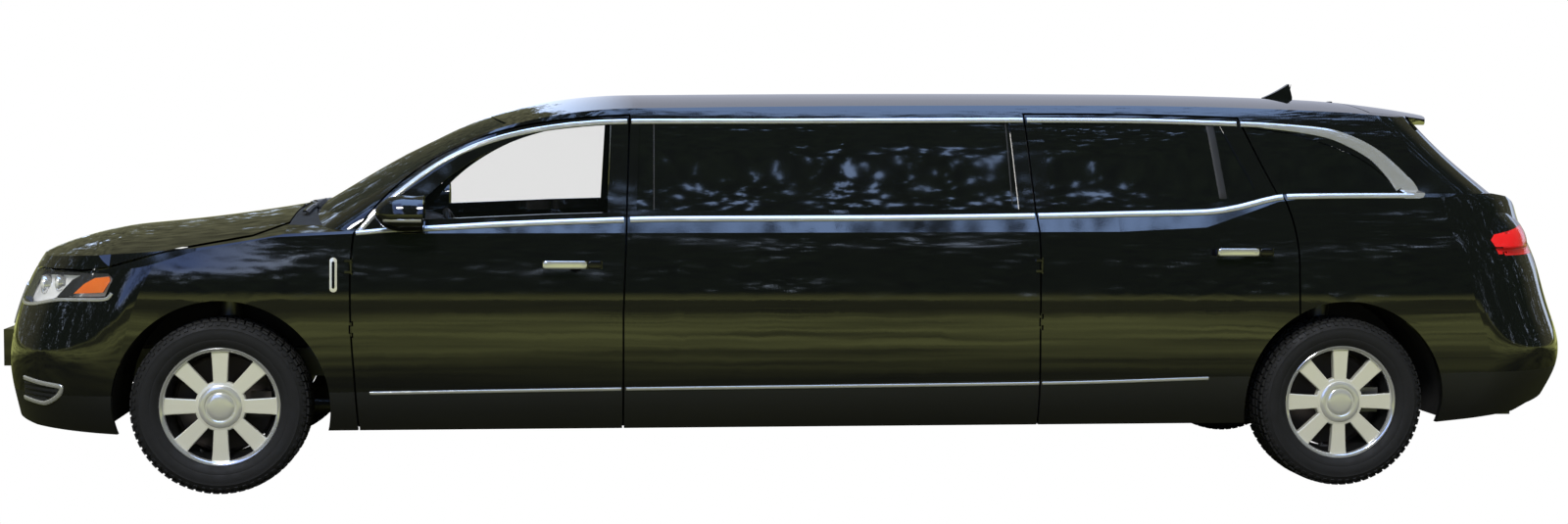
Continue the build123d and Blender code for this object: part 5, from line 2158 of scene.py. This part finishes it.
@dataclass
class Seating:
    """The front seats, and the long bench and rear bench of the lounge."""

    front_x: float = FRONT_AXLE - 1.43
    front_y: float = 0.39
    bench_front: float = FRONT_AXLE - 2.0
    bench_back: float = REAR_AXLE + 1.42

    def build(self) -> None:
        """Makes every seat."""
        self.front_seats()
        self.side_bench()
        self.rear_bench()

    def lay(self, name: str, mesh: Mesh, placing: Matrix, finish: Finish) -> None:
        """Args:
            name: the piece's name.
            mesh: the stuffed pad.
            placing: where it goes.
            finish: its leather.
        """
        copy = mesh.copy()
        copy.transform(placing)
        piece = settle(name, copy, finish, BODY, 60)

    def front_seats(self) -> None:
        """Cushion, back and head restraint of both front seats, on their plinths."""
        lean = math.radians(12)
        up = (-math.sin(lean), 0, math.cos(lean))
        ahead = (math.cos(lean), 0, math.sin(lean))
        cushion = Pad(500, 462, 92, 10, 8, (0.2, -0.25), 16.0).stuffed()
        back = Pad(560, 452, 74, 9, 9, (-0.45, 0.0, 0.45), 16.0).stuffed()
        head = Pad(148, 246, 66, 7, 6, (), cells=18, cap=5.0).stuffed()
        plinths: list[Piece] = []
        for side in Side:
            word, y = side.word, side.value * self.front_y
            x = self.front_x
            placing = stand((1, 0, 0.03), (-0.03, 0, 1), (x + 0.03, y, 0.535))
            self.lay(f"seat_cushion_{word}", cushion, placing, LEATHER)
            self.lay(f"seat_back_{word}", back, stand(up, ahead, (x - 0.288, y, 0.88)), LEATHER)
            placing = stand((-0.1, 0, 1), (1, 0, 0.1), (x - 0.362, y, 1.285))
            self.lay(f"head_restraint_{word}", head, placing, LEATHER)
            low, high = (x - 0.22, y - 0.225, 0.331), (x + 0.24, y + 0.225, 0.54)
            plinths.append(slab(f"seat_plinth_{word}", low, high, 18, PLASTIC))
            low, high = (x - 0.325, y - 0.21, 0.6), (x - 0.282, y + 0.21, 1.155)
            slab(f"seat_shell_{word}", low, high, 16, PLASTIC, -12)
            for place, post in (("in", -0.055), ("out", 0.055)):
                path = [(x - 0.318, y + post, 1.12), (x - 0.333, y + post, 1.24)]
                tube(f"restraint_post_{word}_{place}", path, 6.0, CHROME)
        for piece in plinths:
            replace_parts(piece, "front_seats")

    def side_bench(self) -> None:
        """Three tufted seats along the left of the lounge."""
        length = (self.bench_front - self.bench_back) / 3
        seat = Pad(length / MM - 6, 452, 116, 10, 9, buttons=(3, 3)).stuffed()
        back = Pad(414, length / MM - 6, 96, 9, 9, buttons=(3, 3)).stuffed()
        for number in range(3):
            x = self.bench_back + length * (number + 0.5)
            placing = stand((1, 0, 0), (0, 0, 1), (x, 0.616, 0.566))
            self.lay(f"bench_cushion_{number}", seat, placing, GREY_LEATHER)
            placing = stand((0, 0.06, 1), (0, -1, 0.06), (x, 0.83, 0.905))
            self.lay(f"bench_back_{number}", back, placing, GREY_LEATHER)
        low, high = (self.bench_back + 0.004, 0.4, 0.331), (self.bench_front - 0.004, 0.845, 0.57)
        plinth = slab("bench_plinth", low, high, 14, CARPET)
        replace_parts(plinth, "lounge_seats")

    def rear_bench(self) -> None:
        """Three tufted seats across the back of the lounge."""
        width = 1.08 / 3
        seat = Pad(486, width / MM - 6, 118, 10, 8, buttons=(3, 2)).stuffed()
        back = Pad(404, width / MM - 6, 88, 9, 8, buttons=(3, 2)).stuffed()
        for number in range(3):
            y = (number - 1) * width
            placing = stand((1, 0, 0), (0, 0, 1), (REAR_AXLE - 0.045, y, 0.69))
            self.lay(f"rear_cushion_{number}", seat, placing, GREY_LEATHER)
            placing = stand((-0.08, 0, 1), (1, 0, 0.08), (REAR_AXLE - 0.405, y, 1.02))
            self.lay(f"rear_back_{number}", back, placing, GREY_LEATHER)
        low, high = (REAR_AXLE - 0.315, -0.535, 0.613), (REAR_AXLE + 0.175, 0.535, 0.695)
        slab("rear_bench_plinth", low, high, 12, CARPET)


@dataclass
class Cockpit:
    """Dials, screen, vents, stalks and pedals in front of the driver."""

    driver: float = 0.39
    face: float = FRONT_AXLE - 0.9
    hoods: tuple = (("dial_hood", 0.39, 0.36, 1.035, 0.15), ("centre_screen", 0.0, 0.26, 0.985, 0.13))
    dial_ring: Outline = ((56, 0), (58, 4), (62, 5), (64, 0), (64, -4), (56, -4), (56, 0))
    vents: tuple = (-0.66, -0.2, 0.2, 0.66)
    boss: Outline = ((0, 30), (30, 30), (46, 26), (53, 18), (54, -12), (0, -12))
    column: float = math.radians(64)
    stalk: tuple = (0.02, 0.06, 0.1, 0.14, 0.165)
    pedals: tuple = (("brake_pedal", 0.39, 0.1, 0.5), ("accelerator", 0.24, 0.055, 0.58))

    def build(self) -> None:
        """Makes the fittings on the dashboard, around the wheel and by the driver's feet."""
        self.dashboard()
        self.wheel()
        for name, y, wide, top in self.pedals:
            low = (FRONT_AXLE - 0.6, y - wide / 2, 0.43)
            slab(name, low, (FRONT_AXLE - 0.588, y + wide / 2, top), 4, RUBBER, 25)
            bends = ((-0.585, 0.48), (-0.55, 0.62), (-0.496, 0.7))
            tube(name + "_arm", [(FRONT_AXLE + x, y, z) for x, z in bends], 6, STEEL)

    def dashboard(self) -> None:
        """The dial hood, the screen, the dials' rings and the air vents."""
        face = self.face
        for name, y, width, z, tall in self.hoods:
            side, rise = width / 2, tall / 2
            slab(name, (face - 0.012, y - side, z - rise), (face + 0.03, y + side, z + rise), 10, PLASTIC, 14)
            low = (face - 0.0145, y - side + 0.012, z - rise + 0.012)
            high = (face - 0.009, y + side - 0.012, z + rise - 0.012)
            slab(name + "_glass", low, high, 1.5, GLOSS_BLACK, 14)
        axis = Vector((-0.97, 0, 0.24))
        for number, offset in enumerate((-0.085, 0.085)):
            seat = Vector((face - 0.018, self.driver + offset, 1.034))
            turn_piece(f"dial_ring_{number}", self.dial_ring, seat, axis, CHROME, sharp=30)
        for number, y in enumerate(self.vents):
            low, high = (face - 0.01, y - 0.055, 0.972), (face + 0.02, y + 0.055, 1.032)
            slab(f"vent_{number}", low, high, 8, CHROME, 12)
            for row in range(4):
                z = 0.982 + 0.0135 * row
                low, high = (face - 0.0135, y - 0.047, z), (face - 0.006, y + 0.047, z + 0.0055)
                slab(f"vent_{number}_slat_{row}", low, high, 1.2, PLASTIC, 12)

    def wheel(self) -> None:
        """The boss of the steering wheel and the stalks behind it."""
        hub = Vector((FRONT_AXLE - 0.975, self.driver, 0.99))
        axis = Vector((-math.sin(self.column), 0, math.cos(self.column)))
        turn_piece("wheel_boss", self.boss, hub, axis, TRIM_VINYL, sharp=40)
        start = hub - axis * 0.05
        for name, way in (("stalk_left", 1), ("stalk_right", -1)):
            tube(name, [start + Vector((0, way * reach, 0.1 * reach)) for reach in self.stalk], 6.5, PLASTIC)


@dataclass
class BarFittings:
    """The rail, the glasses and the decanters of the bar."""

    posts: int = 6
    rail_rise: float = 0.04
    tumbler: Outline = ((0, 0), (26, 0), (30, 4), (36, 85), (34.5, 85), (28, 10), (0, 10))
    decanter: Outline = (
        (0, 0), (42, 0), (46, 10), (46, 110), (36, 145), (14, 170), (14, 210), (19, 214), (20, 235), (0, 250),
    )

    def build(self) -> None:
        """Makes the bar's rail, glasses and decanters."""
        low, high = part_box("bar_cabinet")
        centre = (low + high) / 2
        width, depth, top = high.x - low.x, high.y - low.y, high.z
        bend = rounded_rectangle(width - 0.06, depth - 0.06, 0.05, 6)
        rail = [(centre.x + u, centre.y + v, top + self.rail_rise) for u, v in bend]
        tube("bar_rail", rail, 5, CHROME, True)
        for number in range(self.posts):
            x = low.x + 0.1 + (width - 0.2) * number / (self.posts - 1)
            for place, y in (("out", low.y + 0.03), ("in", high.y - 0.03)):
                path = [(x, y, top - 0.002), (x, y, top + self.rail_rise)]
                tube(f"rail_post_{number}_{place}", path, 4, CHROME)
        row = [(self.tumbler, "tumbler")] * 6 + [(self.decanter, "decanter")] * 2
        for number, (profile, word) in enumerate(row):
            foot = Vector((low.x + 0.16 + 0.1 * number, centre.y + (0.05 if number % 2 else -0.05), top))
            points, faces = lathe(profile, 36)
            mesh_piece(f"{word}_{number}", [foot + p for p in points], faces, LAMP_CLEAR)


# ---------------------------------------------------------------- the car's finishes


def dress_frame() -> None:
    """Gives every CAD node its finish."""
    finishes = {
        "fender_": PAINT, "stretch_panel_": PAINT, "quarter_panel_": PAINT, "roof": PAINT,
        "hood": PAINT, "tailgate": PAINT, "door_": PAINT, "front_bumper": PAINT,
        "rear_bumper": PAINT, "mirror_": PAINT, "antenna": PAINT,
        "stretch_glass": PRIVACY, "quarter_glass": PRIVACY, "glass_rear_": PRIVACY,
        "tailgate_glass": PRIVACY, "windscreen": CLEAR, "glass_front_": CLEAR,
        "grille": CHROME, "headlamps": LAMP_CLEAR, "tail_lamps": LAMP_RED,
        "floor_and_bulkhead": UNDERBODY, "arch_liners": UNDERBODY,
        "suspension_front": STEEL, "suspension_rear": STEEL, "knuckle_": CAST,
        "engine": ALUMINIUM, "exhaust": STEEL, "dashboard": TRIM_VINYL,
        "steering_wheel": LEATHER, "front_seats": LEATHER, "lounge_seats": GREY_LEATHER,
        "partition": TRIM_VINYL, "bar_cabinet": WALNUT, "rim_": RIM_METAL_WARM_REFLECTION, "tyre_": RUBBER,
    }
    for name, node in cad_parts.items():
        key = max((k for k in finishes if name.startswith(k)), key=len)
        node.data.materials.clear()
        node.data.materials.append(finishes[key].material)
        LOG.info("finished %s in %s", name, finishes[key].name)


@dataclass
class Studio:
    """The white surround, its open-air light and the camera."""

    camera_place: Triple = (1.0805, 9.8, 1.56)
    yaw: float = -0.103
    pitch: float = -0.0659
    roll: float = 0.0094
    lens: float = 48.7
    ground_size: float = 90.0
    sun_strength: float = 1.6
    canopy: float = 1.02
    daylight: Colour = (0.72, 0.76, 0.82)
    grass: Colour = (0.6, 0.62, 0.2)
    trees: Colour = (0.012, 0.018, 0.008)
    haze: Colour = (1.8, 2.1, 2.6)
    zenith: Colour = (1.3, 2.0, 3.6)
    far_haze: Colour = (0.5, 0.53, 0.64)
    clear_sky: Colour = (0.5, 0.75, 1.6)
    sunlit: Colour = (0.24, 0.24, 0.14)

    def build(self) -> None:
        """Makes the sky, the ground, the sun and the camera."""
        self.sky()
        self.ground()
        self.sun()
        self.camera()

    def sky(self) -> None:
        """White to the camera; an open sky over a dark line of trees to everything else."""
        world = bpy.data.worlds.new("surround")
        bpy.context.scene.world = world
        graph = Graph(world)
        add, maths, blend = graph.add, graph.maths, graph.blend
        way = add("TexCoord").outputs["Generated"]
        right, depth, height = add("SeparateXYZ", {0: way}).outputs

        def ramp(value: Socket, start: float, end: float, top: float = 1.0) -> Socket:
            """Rises from 0 at start to top at end."""
            return graph.span(value, 0.0, top, start, end)

        clumps = add("TexNoise", {"Vector": way, "Scale": 11.0, "Detail": 2.0}).outputs[0]
        wide = add("Mapping", {"Vector": way, "Scale": (170, 60, 110)}).outputs[0]
        twigs = add("TexNoise", {"Vector": wide, "Scale": 1.0, "Detail": 3.0, "Roughness": 0.6}).outputs[0]
        crowns = maths("MULTIPLY_ADD", clumps, 0.7, twigs)
        aloft_share = ramp(height, 0.86, 0.97, 0.45)
        behind = maths("MULTIPLY", ramp(depth, -0.6, -0.85), ramp(right, 0.08, -0.05, 1.2))
        wing = maths("MULTIPLY", ramp(right, 0.12, 0.17), ramp(right, 0.5, 0.42))
        rising = maths("MULTIPLY", ramp(height, 0.02, 0.06), ramp(depth, 0.1, 0.3))
        ahead = maths("MULTIPLY", wing, rising)
        clearing = maths("MULTIPLY_ADD", ahead, 0.32, maths("ADD", aloft_share, behind))
        open_sky = ramp(maths("ADD", crowns, clearing), self.canopy, self.canopy + 0.07)
        above = blend(height, self.haze, self.zenith)
        sky = blend(ahead, blend(behind, above, self.far_haze), self.clear_sky)
        shaded = blend(ramp(twigs, 0.35, 0.7), self.trees, tuple(4 * c for c in self.trees))
        sunlit = blend(ramp(twigs, 0.35, 0.65), tuple(0.3 * c for c in self.sunlit), self.sunlit)
        leaves = blend(ramp(depth, 0.0, -0.3), shaded, sunlit)
        aloft = blend(open_sky, leaves, sky)
        outdoors = blend(ramp(height, -0.02, 0.0), self.grass, aloft)
        soft = add("Background", {"Color": (*self.daylight, 1)}).outputs[0]
        mirrored = add("Background", {"Color": outdoors}).outputs[0]
        white = add("Background", {"Color": (1, 1, 1, 1)}).outputs[0]
        glossy = add("LightPath").outputs["Is Glossy Ray"]
        by_ray = add("MixShader", {0: glossy, 1: soft, 2: mirrored}).outputs[0]
        mixed = add("MixShader", {0: self.seen(graph), 1: by_ray, 2: white})
        add("OutputWorld", {0: mixed.outputs[0]})

    @staticmethod
    def seen(graph: Graph) -> Socket:
        """1 where the camera looks, also through glass, and 0 for every other ray."""
        rays = graph.add("LightPath").outputs
        return graph.maths("MAXIMUM", rays["Is Camera Ray"], rays["Is Transmission Ray"])

    def ground(self) -> None:
        """A floor that is white to the camera and short grass to everything else, with painted shade near the
        car and far from it.
        """
        half = self.ground_size / 2
        mesh = bpy.data.meshes.new("floor")
        mesh.from_pydata(
            [(-half, -half, 0), (half, -half, 0), (half, half, 0), (-half, half, 0)], [], [(0, 1, 2, 3)]
        )
        floor = bpy.data.objects.new("floor", mesh)
        bpy.context.scene.collection.objects.link(floor)
        graph = Graph(bpy.data.materials.new("floor_finish"))
        patches = graph.noise(1.1, 6, (0.35, 1, 1))
        away = graph.add("SeparateXYZ", {0: graph.place()}).outputs[1]
        far_off = graph.maths("ABSOLUTE", away)
        # Painted shade: the grass darkens within a few metres of the car, standing for its shadow, and again
        # past about 11 m, standing for the shade of the trees.
        lit = graph.span(far_off, 0.12, 1.0, 2.5, 7.0)
        shadow = graph.span(far_off, 1.0, 0.22, 11.0, 17.0)
        light = graph.maths("MULTIPLY", lit, shadow)
        shade = graph.maths("MULTIPLY", graph.span(patches, 0.35, 1.15, 0.35, 0.65), light)
        diffuse = graph.add("BsdfDiffuse", {"Color": graph.blend(shade, (0.0, 0.0, 0.0), self.grass)})
        white = graph.add("Emission", {"Color": (1, 1, 1, 1)})
        mixed = graph.add("MixShader", {0: self.seen(graph), 1: diffuse.outputs[0], 2: white.outputs[0]})
        graph.add("OutputMaterial", {0: mixed.outputs[0]})
        mesh.materials.append(graph.owner)

    def sun(self) -> None:
        """A soft sun, high and behind the camera."""
        lamp = bpy.data.lights.new("sun", "SUN")
        lamp.energy = self.sun_strength
        lamp.angle = math.radians(12)
        lamp.color = (1.0, 0.97, 0.92)
        sun = bpy.data.objects.new("sun", lamp)
        sun.rotation_euler = (math.radians(-42), math.radians(18), 0)
        bpy.context.scene.collection.objects.link(sun)

    def camera(self) -> None:
        """The camera at the height of a standing person, level with the middle of the car."""
        lens = bpy.data.cameras.new("camera")
        lens.lens = self.lens
        lens.sensor_width = 36.0
        lens.clip_end = 200.0
        camera = bpy.data.objects.new("camera", lens)
        bpy.context.scene.collection.objects.link(camera)
        ahead = Vector((
            math.sin(self.yaw) * math.cos(self.pitch),
            -math.cos(self.yaw) * math.cos(self.pitch),
            math.sin(self.pitch),
        ))
        level = ahead.cross(Vector((0, 0, 1))).normalized()
        up = level.cross(ahead)
        right = math.cos(self.roll) * level + math.sin(self.roll) * up
        top = -math.sin(self.roll) * level + math.cos(self.roll) * up
        turned = Matrix((right, top, -ahead)).transposed().to_4x4()
        camera.matrix_world = Matrix.Translation(Vector(self.camera_place)) @ turned
        bpy.context.scene.camera = camera


def main() -> None:
    """Builds and dresses each sub-assembly in turn."""
    logging.basicConfig(level=logging.INFO, format="%(name)s: %(message)s")
    bpy.context.scene.view_settings.view_transform = "Standard"
    dress_frame()
    Studio().build()
    skin = Skin("fender_", "door_", "stretch_", "quarter_", "roof", "hood", "glass_")
    nose = Skin("front_bumper", "fender_", "headlamps")
    tail = Skin("rear_bumper", "quarter_panel_", "tail_lamps", "tailgate")
    whole = Skin("fender_", "front_bumper", "rear_bumper", "tailgate", "hood", "roof", "windscreen", "floor_")
    groups = (
        BrightTrim(skin), Handles(), Tyre(), WheelDress(), HeadLamps(nose), TailLamps(tail),
        FogLamps(nose), Fittings(whole), NoseGrille(Skin("grille", "front_bumper")),
        Seals(
            Skin("door_", "roof", "fender_", "stretch_panel_", "quarter_panel_"),
            Skin("stretch_glass", "glass_rear_"),
        ),
        Linings(Skin("roof", "door_", "tailgate")), Seating(), Cockpit(), BarFittings(),
    )
    for group in groups:
        group.build()
        LOG.info("built %s", type(group).__name__)


if __name__ == "__main__":
    main()
